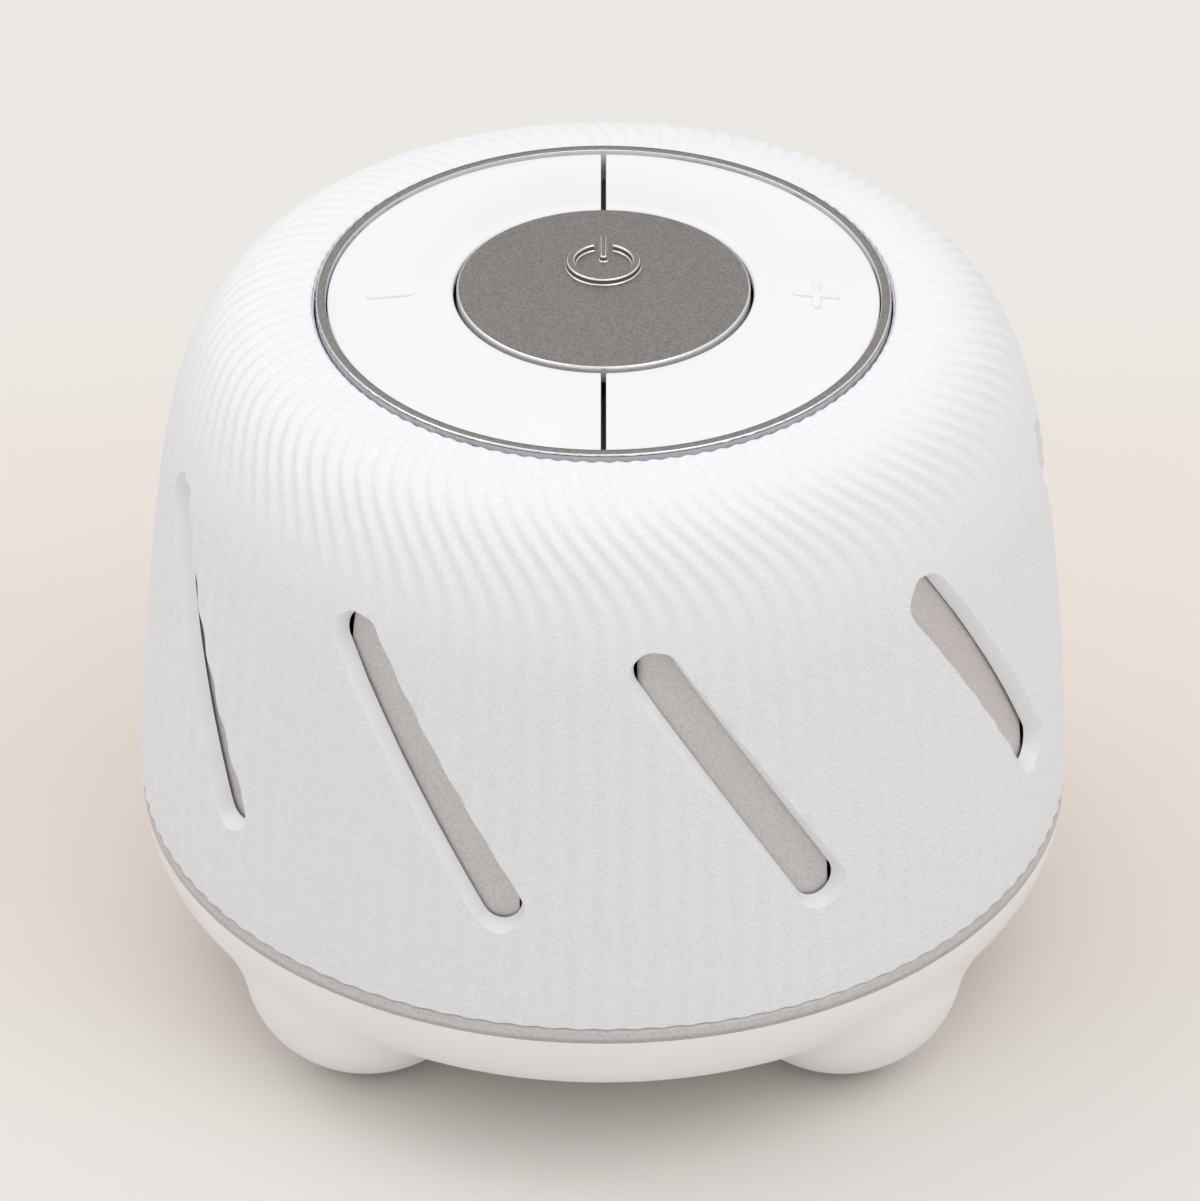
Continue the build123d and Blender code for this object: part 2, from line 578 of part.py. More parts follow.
def make_base_shell():
    outside = base_form()
    inside = bowl(BASE_WALL)
    for azimuth in azimuths(LOBE_COUNT, LOBE_AZIMUTH):
        inside += lobe(LOBE_R - BASE_WALL, LOBE_HALF_HEIGHT - LOBE_FLOOR, azimuth)
    inside &= disc(BASE_BOWL_R - BASE_WALL, 0, BASE_TOP_Z)
    shell = outside - inside
    head_r = SCREW_HEAD_R + SEAT_GAP
    for azimuth in azimuths(LOBE_COUNT, LOBE_AZIMUTH):
        place = round_place(LOBE_PLACE_R, azimuth)
        shell += disc(BASE_BOSS_R, LOBE_CUT_Z, BASE_TOP_Z, place.X, place.Y) & outside
        shell -= disc(head_r, 0, BASE_SCREW_HEAD_Z + SCREW_HEAD_HEIGHT, place.X, place.Y)
        shell -= disc(SCREW_R + SCREW_GAP, 0, BASE_TOP_Z + OVER, place.X, place.Y)
        shell -= disc(PAD_R + SEAT_GAP / 2, 0, LOBE_CUT_Z + PAD_RECESS, place.X, place.Y)
    for azimuth in azimuths(POST_COUNT):
        place = round_place(POST_PLACE_R, azimuth)
        shell += disc(POST_R, BELLY_Z + BASE_WALL / 2, POST_TOP_Z, place.X, place.Y)
        hole_low = POST_TOP_Z - POST_HOLE_DEPTH
        shell -= disc(SCREW_R + SCREW_GAP, hole_low, POST_TOP_Z + OVER, place.X, place.Y)
    shell -= disc(INTAKE_HOLE_R, 0, BASE_FLOOR_Z + OVER)
    shell -= disc(GRILLE_R + SEAT_GAP, 0, BELLY_Z + GRILLE_THICK)
    for azimuth in azimuths(GRILLE_SCREWS, GRILLE_SCREW_AZIMUTH):
        place = round_place(GRILLE_SCREW_PLACE_R, azimuth)
        top = BASE_FLOOR_Z + GRILLE_BOSS_HEIGHT
        shell += disc(GRILLE_BOSS_R, BELLY_Z + GRILLE_THICK, top, place.X, place.Y)
        shell -= disc(SMALL_SCREW_R + SCREW_GAP, BELLY_Z, top + OVER, place.X, place.Y)
    shell += rod(WELL_R + WELL_WALL, JACK_BACK_Y, COVER_FOOT_R, JACK_Z) & outside
    shell -= rod(WELL_R, WELL_FLOOR_Y, COVER_FOOT_R + OVER, JACK_Z)
    shell -= rod(JACK_NOSE_R + SEAT_GAP / 2, JACK_BACK_Y - OVER, WELL_FLOOR_Y + OVER, JACK_Z)
    board_low = JACK_BOARD_TOP_Z - BOARD_THICK
    for x in (-JACK_BOARD_SCREW_X, JACK_BOARD_SCREW_X):
        shell += disc(JACK_BOARD_BOSS_R, BELLY_Z + BASE_WALL / 2, board_low, x, JACK_FRONT_Y)
        shell -= disc(SMALL_SCREW_R + SCREW_GAP, BELLY_Z + SKIN, board_low + OVER, x, JACK_FRONT_Y)
    return shell


def make_foot_pads():
    pads = []
    for azimuth in azimuths(LOBE_COUNT, LOBE_AZIMUTH):
        place = round_place(LOBE_PLACE_R, azimuth)
        pad = disc(PAD_R, 0, LOBE_CUT_Z + PAD_RECESS, place.X, place.Y)
        pads.append(fillet(pad.edges().group_by(Axis.Z)[0], PAD_EDGE_R))
    return pads


def make_base_screws():
    top = EAR_TOP_Z + EAR_BOSS_HEIGHT
    seat = BASE_SCREW_HEAD_Z + SCREW_HEAD_HEIGHT
    places = [round_place(LOBE_PLACE_R, azimuth) for azimuth in azimuths(LOBE_COUNT, LOBE_AZIMUTH)]
    return [screw(SCREW_R, SCREW_HEAD_R, SCREW_HEAD_HEIGHT, place, seat, top) for place in places]


def make_intake_grille():
    plate = disc(GRILLE_R, BELLY_Z, BELLY_Z + GRILLE_THICK)
    for index, azimuth in enumerate(azimuths(2 * GRILLE_SLOTS)):
        inner = GRILLE_SLOT_INNER_R if index % 2 == 0 else GRILLE_SHORT_INNER_R
        length = GRILLE_SLOT_OUTER_R - inner
        slot = SlotCenterToCenter(length - GRILLE_SLOT_WIDTH, GRILLE_SLOT_WIDTH)
        cutter = Pos(inner + length / 2, 0, BELLY_Z - OVER) * extrude(slot, GRILLE_THICK + 2 * OVER)
        plate -= Rot(0, 0, azimuth) * cutter
    for azimuth in azimuths(GRILLE_SCREWS, GRILLE_SCREW_AZIMUTH):
        place = round_place(GRILLE_SCREW_PLACE_R, azimuth)
        low, high = BELLY_Z - OVER, BELLY_Z + GRILLE_THICK + OVER
        plate -= disc(SMALL_SCREW_R + SCREW_GAP, low, high, place.X, place.Y)
        plate -= disc(SMALL_HEAD_R + SEAT_GAP, low, BELLY_Z + SMALL_HEAD_HEIGHT, place.X, place.Y)
    return plate


def make_grille_screws():
    seat = BELLY_Z + SMALL_HEAD_HEIGHT
    tip = BASE_FLOOR_Z + GRILLE_BOSS_HEIGHT - SKIN
    places = [round_place(GRILLE_SCREW_PLACE_R, azimuth) for azimuth in azimuths(GRILLE_SCREWS, GRILLE_SCREW_AZIMUTH)]
    return [screw(SMALL_SCREW_R, SMALL_HEAD_R, SMALL_HEAD_HEIGHT, place, seat, tip) for place in places]


# ---------------------------------------------------------------- power inlet
def make_jack_body():
    half = JACK_WIDTH / 2
    body = block(-half, half, JACK_FRONT_Y, JACK_BACK_Y, JACK_BOARD_TOP_Z, JACK_Z + half)
    body += rod(JACK_NOSE_R, JACK_BACK_Y - EMBED, WELL_FLOOR_Y, JACK_Z)
    body -= rod(JACK_BORE_R, WELL_FLOOR_Y - JACK_BORE_DEPTH, WELL_FLOOR_Y + OVER, JACK_Z)
    root = WELL_FLOOR_Y - JACK_BORE_DEPTH - JACK_PIN_ROOT
    body -= rod(JACK_PIN_R + SHAFT_GAP, root, WELL_FLOOR_Y, JACK_Z)
    return body


def make_jack_pin():
    root = WELL_FLOOR_Y - JACK_BORE_DEPTH - JACK_PIN_ROOT
    return rod(JACK_PIN_R, root, root + JACK_PIN_ROOT + JACK_PIN_LENGTH, JACK_Z)


def make_jack_board():
    half = JACK_BOARD_WIDTH / 2
    front = JACK_FRONT_Y - JACK_BOARD_FRONT
    back = JACK_FRONT_Y + JACK_LENGTH / 2
    board = block(-half, half, front, back, JACK_BOARD_TOP_Z - BOARD_THICK, JACK_BOARD_TOP_Z)
    for x in (-JACK_BOARD_SCREW_X, JACK_BOARD_SCREW_X):
        board -= disc(SMALL_SCREW_R + SCREW_GAP, BELLY_Z, JACK_Z, x, JACK_FRONT_Y)
    return board


def make_jack_board_screws():
    tip = BELLY_Z + JACK_SCREW_SKIN
    places = [Vector(x, JACK_FRONT_Y, 0) for x in (-JACK_BOARD_SCREW_X, JACK_BOARD_SCREW_X)]
    return [
        screw(SMALL_SCREW_R, SMALL_HEAD_R, SMALL_HEAD_HEIGHT, place, JACK_BOARD_TOP_Z, tip)
        for place in places
    ]


# ---------------------------------------------------------------- deck and ring
def guide_places(side):
    """The two guide posts of a side button: side is -1 for minus and 1 for plus."""
    return [round_place(GUIDE_PLACE_R, side * 90 + turn) for turn in (-GUIDE_SPREAD, GUIDE_SPREAD)]


def power_guide_places():
    return [round_place(POWER_GUIDE_PLACE_R, azimuth) for azimuth in azimuths(POWER_GUIDES)]


def switch_places():
    return [Vector(0, 0, 0), Vector(-SWITCH_PLACE_R, 0, 0), Vector(SWITCH_PLACE_R, 0, 0)]


def standoff_places():
    return [round_place(BOARD_SCREW_PLACE_R, azimuth) for azimuth in azimuths(BOARD_SCREWS, 180)]


def make_top_deck():
    deck = disc(DECK_R, DECK_LOW_Z, DECK_TOP_Z)
    for place in standoff_places():
        deck += disc(STANDOFF_R, BOARD_TOP_Z, DECK_LOW_Z + EMBED, place.X, place.Y)
        hole_top = DECK_TOP_Z - DECK_SKIN
        deck -= disc(SMALL_SCREW_R + SCREW_GAP, BOARD_TOP_Z - OVER, hole_top, place.X, place.Y)
    low = DECK_LOW_Z - OVER
    high = DECK_TOP_Z + OVER
    for place in guide_places(-1) + guide_places(1) + power_guide_places():
        deck -= disc(GUIDE_R + SLIDE_GAP, low, high, place.X, place.Y)
    for place in switch_places():
        deck -= disc(PLUNGER_R + PLUNGER_GAP, low, high, place.X, place.Y)
    for azimuth in azimuths(DECK_SCREWS, DECK_SCREW_AZIMUTH):
        place = round_place(DECK_SCREW_PLACE_R, azimuth)
        deck -= disc(SMALL_SCREW_R + SCREW_GAP, low, high, place.X, place.Y)
        deck -= disc(SMALL_HEAD_R + SEAT_GAP, DECK_TOP_Z - SMALL_HEAD_HEIGHT, high, place.X, place.Y)
    for azimuth in azimuths(RING_PINS, RING_PIN_AZIMUTH):
        place = round_place(RING_PIN_PLACE_R, azimuth)
        deck -= disc(RING_PIN_R + SCREW_GAP, low, high, place.X, place.Y)
    return deck


def make_deck_screws():
    seat = DECK_TOP_Z - SMALL_HEAD_HEIGHT
    tip = DECK_LOW_Z - LEDGE_THICK
    places = [round_place(DECK_SCREW_PLACE_R, azimuth) for azimuth in azimuths(DECK_SCREWS, DECK_SCREW_AZIMUTH)]
    return [screw(SMALL_SCREW_R, SMALL_HEAD_R, SMALL_HEAD_HEIGHT, place, seat, tip) for place in places]


def make_bezel_ring():
    ring = tube(RING_OUTER_R, RING_INNER_R, DECK_TOP_Z, RING_TOP_Z)
    ring = chamfer(ring.edges().group_by(Axis.Z)[-1], RING_CHAMFER)
    foot = tube(RING_OUTER_R, RING_FOOT_INNER_R, DECK_TOP_Z, DECK_TOP_Z + RING_FOOT_THICK)
    for azimuth in azimuths(DECK_SCREWS, DECK_SCREW_AZIMUTH):
        place = round_place(DECK_SCREW_PLACE_R, azimuth)
        foot -= disc(SMALL_HEAD_R + SEAT_GAP, DECK_TOP_Z - OVER, RING_TOP_Z, place.X, place.Y)
    ring += foot
    for azimuth in azimuths(RING_PINS, RING_PIN_AZIMUTH):
        place = round_place(RING_PIN_PLACE_R, azimuth)
        pin_top = DECK_TOP_Z + RING_FOOT_THICK / 2
        ring += disc(RING_PIN_R, DECK_TOP_Z - RING_PIN_LENGTH, pin_top, place.X, place.Y)
    return ring


# ---------------------------------------------------------------- buttons
def guide_post(place, top):
    """A post that runs in the deck, with a barb under the deck."""
    barb_top = DECK_LOW_Z - FACE_GAP
    post = disc(GUIDE_R, barb_top - BARB_HEIGHT, top, place.X, place.Y)
    return post + disc(BARB_R, barb_top - BARB_HEIGHT, barb_top, place.X, place.Y)


def button_band(lift=0.0):
    """A band wider than the side buttons: hollow on top, bevelled towards the power button."""
    bevel_r = BUTTON_INNER_R + BUTTON_BEVEL
    middle_r = (BUTTON_OUTER_R + bevel_r) / 2
    outer_z = COVER_RIM_Z + BUTTON_OUTER_RISE + lift
    middle_z = COVER_RIM_Z + BUTTON_MIDDLE_RISE + lift
    inner_z = COVER_RIM_Z + BUTTON_INNER_RISE + lift
    near_r = BUTTON_INNER_R - OVER
    near_z = inner_z - BUTTON_BEVEL_DROP * (bevel_r - near_r) / BUTTON_BEVEL
    far_r = BUTTON_OUTER_R + OVER
    top = ThreePointArc((BUTTON_OUTER_R, 0, outer_z), (middle_r, 0, middle_z), (bevel_r, 0, inner_z))
    low = Pos(0, 0, -BUTTON_THICK) * top
    near = Polyline(
        (bevel_r, 0, inner_z),
        (near_r, 0, near_z),
        (near_r, 0, inner_z - BUTTON_THICK),
        (bevel_r, 0, inner_z - BUTTON_THICK),
    )
    far = Polyline(
        (BUTTON_OUTER_R, 0, outer_z - BUTTON_THICK),
        (far_r, 0, outer_z - BUTTON_THICK),
        (far_r, 0, outer_z),
        (BUTTON_OUTER_R, 0, outer_z),
    )
    return revolve(make_face([*top.edges(), *near.edges(), *low.edges(), *far.edges()]), Axis.Z)


def side_button(side):
    """Half of the white ring: side is -1 for minus and 1 for plus."""
    edge = BUTTON_SPLIT / 2
    plan = Circle(BUTTON_OUTER_R) - Circle(BUTTON_INNER_R)
    plan &= Pos(side * (edge + BUTTON_OUTER_R / 2), 0) * Rectangle(BUTTON_OUTER_R, 3 * BUTTON_OUTER_R)
    plan = fillet(plan.vertices(), BUTTON_CORNER_R)
    cap = button_band() & Pos(0, 0, DECK_TOP_Z) * extrude(plan, POWER_TOP_Z - DECK_TOP_Z)
    for place in guide_places(side):
        cap += guide_post(place, COVER_RIM_Z)
    cap += disc(PLUNGER_R, PLUNGER_LOW_Z, COVER_RIM_Z, side * SWITCH_PLACE_R, 0)
    return cap


def glyph_bar(side, along, across):
    """One raised stroke of a side button's sign."""
    stroke = Pos(side * GLYPH_PLACE_R, 0, COVER_RIM_Z) * Rectangle(along, across)
    stroke = extrude(fillet(stroke.vertices(), GLYPH_END_R), POWER_TOP_Z - COVER_RIM_Z)
    return stroke & button_band(GLYPH_RAISE)


def make_minus_button():
    return side_button(-1) + glyph_bar(-1, GLYPH_LENGTH, GLYPH_WIDTH)


def make_plus_button():
    sign = glyph_bar(1, GLYPH_LENGTH, GLYPH_WIDTH) + glyph_bar(1, GLYPH_WIDTH, GLYPH_LENGTH)
    return side_button(1) + sign


def power_sign():
    """The generic power sign: a broken ring with a bar through the break."""
    low = POWER_TOP_Z - SYMBOL_ROOT
    high = POWER_TOP_Z + SYMBOL_RAISE
    ring = sector(SYMBOL_R - SYMBOL_LINE, SYMBOL_R, low, high, 0, 360 - SYMBOL_GAP)
    bar = block(-SYMBOL_LINE / 2, SYMBOL_LINE / 2, 0, SYMBOL_BAR, low, high)
    return Pos(0, SYMBOL_SHIFT) * ring, Pos(0, SYMBOL_SHIFT) * bar


def make_power_button():
    cap = disc(POWER_R, POWER_LOW_Z, POWER_TOP_Z)
    cap = fillet(cap.edges().group_by(Axis.Z)[-1], POWER_EDGE_R)
    cap -= disc(POWER_R - POWER_SKIRT, POWER_LOW_Z - OVER, POWER_TOP_Z - POWER_CROWN)
    for place in power_guide_places():
        cap += guide_post(place, POWER_TOP_Z - POWER_CROWN / 2)
    cap += disc(PLUNGER_R, PLUNGER_LOW_Z, POWER_TOP_Z - POWER_CROWN / 2)
    for piece in power_sign():
        cap += piece
    return cap


# ---------------------------------------------------------------- boards and switches
def make_button_board():
    board = disc(BOARD_R, BOARD_LOW_Z, BOARD_TOP_Z)
    for place in standoff_places():
        board -= disc(SMALL_SCREW_R + SCREW_GAP, BOARD_LOW_Z - OVER, BOARD_TOP_Z + OVER, place.X, place.Y)
    return board


def make_board_screws():
    return [
        screw(SMALL_SCREW_R, SMALL_HEAD_R, SMALL_HEAD_HEIGHT, place, BOARD_LOW_Z, DECK_LOW_Z)
        for place in standoff_places()
    ]


def make_switch(place):
    half = SWITCH_SIZE / 2
    top = BOARD_TOP_Z + SWITCH_HEIGHT
    body = block(-half, half, -half, half, BOARD_TOP_Z, top)
    return Pos(place.X, place.Y) * body


def make_switch_stems():
    top = BOARD_TOP_Z + SWITCH_HEIGHT
    return [disc(STEM_R, top, STEM_TOP_Z, place.X, place.Y) for place in switch_places()]


def chip(width, depth, height, x):
    """A flat chip under the button board."""
    body = block(-width / 2, width / 2, -depth / 2, depth / 2, BOARD_LOW_Z - height, BOARD_LOW_Z)
    return Pos(x, 0) * body


def make_control_chip():
    return chip(CONTROL_CHIP_SIZE, CONTROL_CHIP_SIZE, CONTROL_CHIP_HEIGHT, CONTROL_CHIP_X)


def make_motor_driver():
    return chip(DRIVER_CHIP_WIDTH, DRIVER_CHIP_DEPTH, DRIVER_CHIP_HEIGHT, DRIVER_CHIP_X)


def make_capacitor():
    can = disc(CAPACITOR_R, BOARD_LOW_Z - CAPACITOR_HEIGHT, BOARD_LOW_Z, CAPACITOR_X, CAPACITOR_Y)
    return fillet(can.edges().group_by(Axis.Z)[0], CAPACITOR_EDGE_R)


def make_connector(side):
    """A plug and socket under the board for two wires: side is -1 for power and 1 for the motor."""
    half = CONNECTOR_WIDTH / 2
    middle = WIRE_MIDDLE_X + side * (half + CONNECTOR_GAP / 2)
    back = CONNECTOR_Y + CONNECTOR_DEPTH / 2
    return block(middle - half, middle + half, back - CONNECTOR_DEPTH, back, CONNECTOR_LOW_Z, BOARD_LOW_Z)


# ---------------------------------------------------------------- wires
def wire_route(x, from_inlet):
    """Corner points of one wire, from its start to the connector under the board."""
    low_turn = CLIP_LOW_Z - WIRE_HANG
    high_turn = CONNECTOR_LOW_Z - WIRE_TURN_IN
    rise = JACK_Z + WIRE_LIFT
    if from_inlet:
        start_y = JACK_FRONT_Y - JACK_BOARD_FRONT / 2
        start = [(x, start_y, JACK_BOARD_TOP_Z), (x, start_y, rise)]
    else:
        level = MOTOR_LOW_Z - END_CAP_THICK / 2
        turn_y = JACK_FRONT_Y - 2 * JACK_BOARD_FRONT
        start = [(x, MOTOR_R + TERMINAL_REACH, level), (x, turn_y, level), (x, turn_y, rise)]
    up = [(x, wire_y(low_turn), low_turn), (x, wire_y(high_turn), high_turn)]
    end = [(x, CONNECTOR_Y, high_turn), (x, CONNECTOR_Y, CONNECTOR_LOW_Z)]
    return start + up + end


def sweep_wire(points, radius):
    """A round wire along straight runs joined by arcs."""
    path = FilletPolyline(*points, radius=WIRE_BEND_R)
    first = Vector(*points[0])
    way = Vector(*points[1]) - first
    return sweep(Plane(origin=first, z_dir=way) * Circle(radius), path)


def make_wire(index):
    return sweep_wire(wire_route(wire_xs()[index], index < 2), WIRE_R)


# ---------------------------------------------------------------- motor
def make_motor_can():
    can = disc(MOTOR_R, MOTOR_LOW_Z, MOTOR_TOP_Z)
    can -= disc(MOTOR_R - MOTOR_WALL, MOTOR_LOW_Z - OVER, MOTOR_TOP_Z - MOTOR_WALL)
    can += disc(BEARING_R, MOTOR_TOP_Z - BEARING_RISE, MOTOR_TOP_Z + BEARING_RISE)
    can -= disc(SHAFT_R + SHAFT_GAP, MOTOR_LOW_Z, MOTOR_TOP_Z + BEARING_RISE + OVER)
    low = MOTOR_TOP_Z - MOTOR_WALL - OVER
    for side in (-1, 1):
        can -= disc(SMALL_SCREW_R + SCREW_GAP, low, MOTOR_TOP_Z + OVER, side * MOTOR_SCREW_PLACE_R, 0)
    return can


def make_motor_magnets():
    outer = MOTOR_R - MOTOR_WALL - FACE_GAP
    low = ROTOR_LOW_Z - MAGNET_OVERHANG
    high = ROTOR_LOW_Z + ROTOR_LENGTH + MAGNET_OVERHANG
    return [sector(outer - MAGNET_THICK, outer, low, high, middle, MAGNET_ARC) for middle in (90, 270)]


def make_motor_end_cap():
    low = MOTOR_LOW_Z - END_CAP_THICK
    cap = disc(MOTOR_R, low, MOTOR_LOW_Z)
    spigot_top = MOTOR_LOW_Z + END_CAP_SPIGOT
    cap += disc(MOTOR_R - MOTOR_WALL - FACE_GAP, MOTOR_LOW_Z - EMBED, spigot_top)
    cap -= disc(SHAFT_R + SHAFT_GAP, low + END_CAP_FLOOR, spigot_top + OVER)
    return cap


def make_motor_terminals():
    middle = MOTOR_LOW_Z - END_CAP_THICK / 2
    half = TERMINAL_SIZE / 2
    low = middle - TERMINAL_THICK / 2
    high = middle + TERMINAL_THICK / 2
    tabs = []
    for x in wire_xs()[2:]:
        root = sqrt(MOTOR_R ** 2 - (abs(x) + half) ** 2) - OVER
        tab = block(x - half, x + half, root, MOTOR_R + TERMINAL_REACH, low, high)
        tabs.append(tab - disc(MOTOR_R + FACE_GAP / 2, low - OVER, high + OVER))
    return tabs


def make_motor_shaft():
    return disc(SHAFT_R, MOTOR_LOW_Z - END_CAP_THICK + END_CAP_FLOOR + SEAT_GAP, SHAFT_TOP_Z)


def make_rotor_core():
    high = ROTOR_LOW_Z + ROTOR_LENGTH
    core = tube(ROTOR_R - MAGNET_GAP, SHAFT_R + SHAFT_GAP, ROTOR_LOW_Z, high)
    for azimuth in azimuths(ROTOR_SLOTS):
        place = round_place(ROTOR_R - MAGNET_GAP, azimuth)
        core -= disc(ROTOR_SLOT_R, ROTOR_LOW_Z - OVER, high + OVER, place.X, place.Y)
    return core


def make_commutator():
    high = ROTOR_LOW_Z - FACE_GAP
    return tube(COMMUTATOR_R, SHAFT_R + SHAFT_GAP, high - COMMUTATOR_LENGTH, high)


def make_motor_bracket():
    plate = disc(BRACKET_R, MOTOR_TOP_Z, BRACKET_TOP_Z)
    for azimuth in azimuths(POST_COUNT):
        arm = block(-BRACKET_ARM / 2, BRACKET_ARM / 2, -POST_PLACE_R, 0, MOTOR_TOP_Z, BRACKET_TOP_Z)
        arm += disc(BRACKET_ARM / 2, MOTOR_TOP_Z, BRACKET_TOP_Z, 0, -POST_PLACE_R)
        plate += Rot(0, 0, azimuth) * arm
    low = MOTOR_TOP_Z - OVER
    high = BRACKET_TOP_Z + OVER
    for azimuth in azimuths(POST_COUNT):
        place = round_place(POST_PLACE_R, azimuth)
        plate -= disc(GROMMET_NECK_R + FACE_GAP, low, high, place.X, place.Y)
    plate -= disc(BEARING_R + FACE_GAP, low, high)
    for side in (-1, 1):
        plate -= disc(SMALL_SCREW_R + SCREW_GAP, low, high, side * MOTOR_SCREW_PLACE_R, 0)
    return plate


def make_motor_screws():
    places = [Vector(side * MOTOR_SCREW_PLACE_R, 0, 0) for side in (-1, 1)]
    tip = MOTOR_TOP_Z - MOTOR_WALL
    return [
        screw(SMALL_SCREW_R, SMALL_HEAD_R, SMALL_HEAD_HEIGHT, place, BRACKET_TOP_Z, tip)
        for place in places
    ]


def make_grommets():
    pieces = []
    for azimuth in azimuths(POST_COUNT):
        place = round_place(POST_PLACE_R, azimuth)
        body = disc(GROMMET_R, POST_TOP_Z, GROMMET_TOP_Z, place.X, place.Y)
        body -= tube(GROMMET_R + OVER, GROMMET_NECK_R, MOTOR_TOP_Z, BRACKET_TOP_Z, place.X, place.Y)
        body -= disc(GROMMET_BORE_R, POST_TOP_Z - OVER, GROMMET_TOP_Z + OVER, place.X, place.Y)
        pieces.append(body)
    return pieces


def make_post_screws():
    places = [round_place(POST_PLACE_R, azimuth) for azimuth in azimuths(POST_COUNT)]
    tip = POST_TOP_Z - POST_SCREW_DEPTH
    return [screw(SCREW_R, POST_HEAD_R, SCREW_HEAD_HEIGHT, place, GROMMET_TOP_Z, tip) for place in places]


# ---------------------------------------------------------------- fan
def make_fan_wheel():
    wheel = disc(FAN_R, FAN_TOP_Z - FAN_DISC, FAN_TOP_Z)
    wheel += disc(FAN_HUB_R, FAN_TOP_Z - FAN_HUB_LENGTH, FAN_TOP_Z)
    wheel += tube(FAN_R, FAN_R - FAN_RING_WIDTH, FAN_LOW_Z, FAN_LOW_Z + FAN_RING)
    length = FAN_R - FAN_EYE_R
    half = FAN_BLADE_THICK / 2
    for azimuth in azimuths(FAN_BLADES):
        blade = block(-half, half, -length / 2, length / 2, FAN_LOW_Z, FAN_TOP_Z - FAN_DISC / 2)
        place = Pos(0, FAN_BLADE_SHIFT - (FAN_R + FAN_EYE_R) / 2, 0) * Rot(0, 0, FAN_BLADE_LEAN)
        wheel += Rot(0, 0, azimuth) * place * blade
    wheel &= disc(FAN_R, FAN_LOW_Z, FAN_TOP_Z)
    return wheel - disc(SHAFT_R + SHAFT_GAP, FAN_LOW_Z, FAN_TOP_Z + OVER)


def make_push_nut():
    return tube(PUSH_NUT_R, SHAFT_R + SHAFT_GAP, FAN_TOP_Z, FAN_TOP_Z + PUSH_NUT_THICK)


# ---------------------------------------------------------------- write the parts
def whole():
    """Every node by name, with its solid or its group of solids."""
    power_place, minus_place, plus_place = switch_places()
    return {
        "outer_cover": make_outer_cover(),
        "inner_drum": make_inner_drum(),
        "base_shell": make_base_shell(),
        "foot_pads": make_foot_pads(),
        "base_screws": make_base_screws(),
        "intake_grille": make_intake_grille(),
        "grille_screws": make_grille_screws(),
        "dc_jack_body": make_jack_body(),
        "dc_jack_pin": make_jack_pin(),
        "dc_jack_board": make_jack_board(),
        "dc_jack_board_screws": make_jack_board_screws(),
        "top_deck": make_top_deck(),
        "deck_screws": make_deck_screws(),
        "bezel_ring": make_bezel_ring(),
        "minus_button": make_minus_button(),
        "plus_button": make_plus_button(),
        "power_button": make_power_button(),
        "button_board": make_button_board(),
        "button_board_screws": make_board_screws(),
        "power_switch": make_switch(power_place),
        "minus_switch": make_switch(minus_place),
        "plus_switch": make_switch(plus_place),
        "switch_stems": make_switch_stems(),
        "control_chip": make_control_chip(),
        "motor_driver_chip": make_motor_driver(),
        "smoothing_capacitor": make_capacitor(),
        "power_connector": make_connector(-1),
        "motor_connector": make_connector(1),
        "power_wire_red": make_wire(0),
        "power_wire_black": make_wire(1),
        "motor_wire_red": make_wire(2),
        "motor_wire_black": make_wire(3),
        "motor_can": make_motor_can(),
        "motor_magnets": make_motor_magnets(),
        "motor_end_cap": make_motor_end_cap(),
        "motor_terminals": make_motor_terminals(),
        "motor_shaft": make_motor_shaft(),
        "rotor_core": make_rotor_core(),
        "commutator": make_commutator(),
        "motor_bracket": make_motor_bracket(),
        "motor_screws": make_motor_screws(),
        "motor_grommets": make_grommets(),
        "motor_post_screws": make_post_screws(),
        "fan_wheel": make_fan_wheel(),
        "fan_push_nut": make_push_nut(),
    }


os.makedirs("parts", exist_ok=True)
for name, piece in whole().items():
    shape = Compound(children=piece) if isinstance(piece, list) else piece
    export_step(shape, f"parts/{name}.step")
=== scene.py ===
import json
from math import atan2, cos, hypot, pi, radians, sin

import bpy
import numpy as np
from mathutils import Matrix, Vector


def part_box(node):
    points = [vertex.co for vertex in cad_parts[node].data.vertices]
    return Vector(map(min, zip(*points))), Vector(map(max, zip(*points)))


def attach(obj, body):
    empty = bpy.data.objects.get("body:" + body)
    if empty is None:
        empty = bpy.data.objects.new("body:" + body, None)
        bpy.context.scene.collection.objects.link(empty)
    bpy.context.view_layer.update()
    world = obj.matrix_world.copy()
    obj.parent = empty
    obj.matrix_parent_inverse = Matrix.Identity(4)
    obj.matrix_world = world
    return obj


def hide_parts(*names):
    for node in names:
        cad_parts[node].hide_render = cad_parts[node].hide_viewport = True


# Dresses a fan-type white noise machine: a ribbed white cover that turns over a silver drum,
# a white base on four feet, and three buttons in a silver ring.  Metres, +Z up, front at -Y.
# An azimuth is counted from the front, positive towards +X.

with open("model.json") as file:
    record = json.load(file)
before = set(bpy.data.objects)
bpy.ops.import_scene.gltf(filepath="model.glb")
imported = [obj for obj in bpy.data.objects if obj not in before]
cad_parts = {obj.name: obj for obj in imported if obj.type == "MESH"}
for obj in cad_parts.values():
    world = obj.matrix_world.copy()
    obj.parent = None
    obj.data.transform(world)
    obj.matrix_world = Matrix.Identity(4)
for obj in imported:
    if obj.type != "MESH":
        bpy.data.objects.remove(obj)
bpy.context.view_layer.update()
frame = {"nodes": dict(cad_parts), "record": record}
MM = 0.001

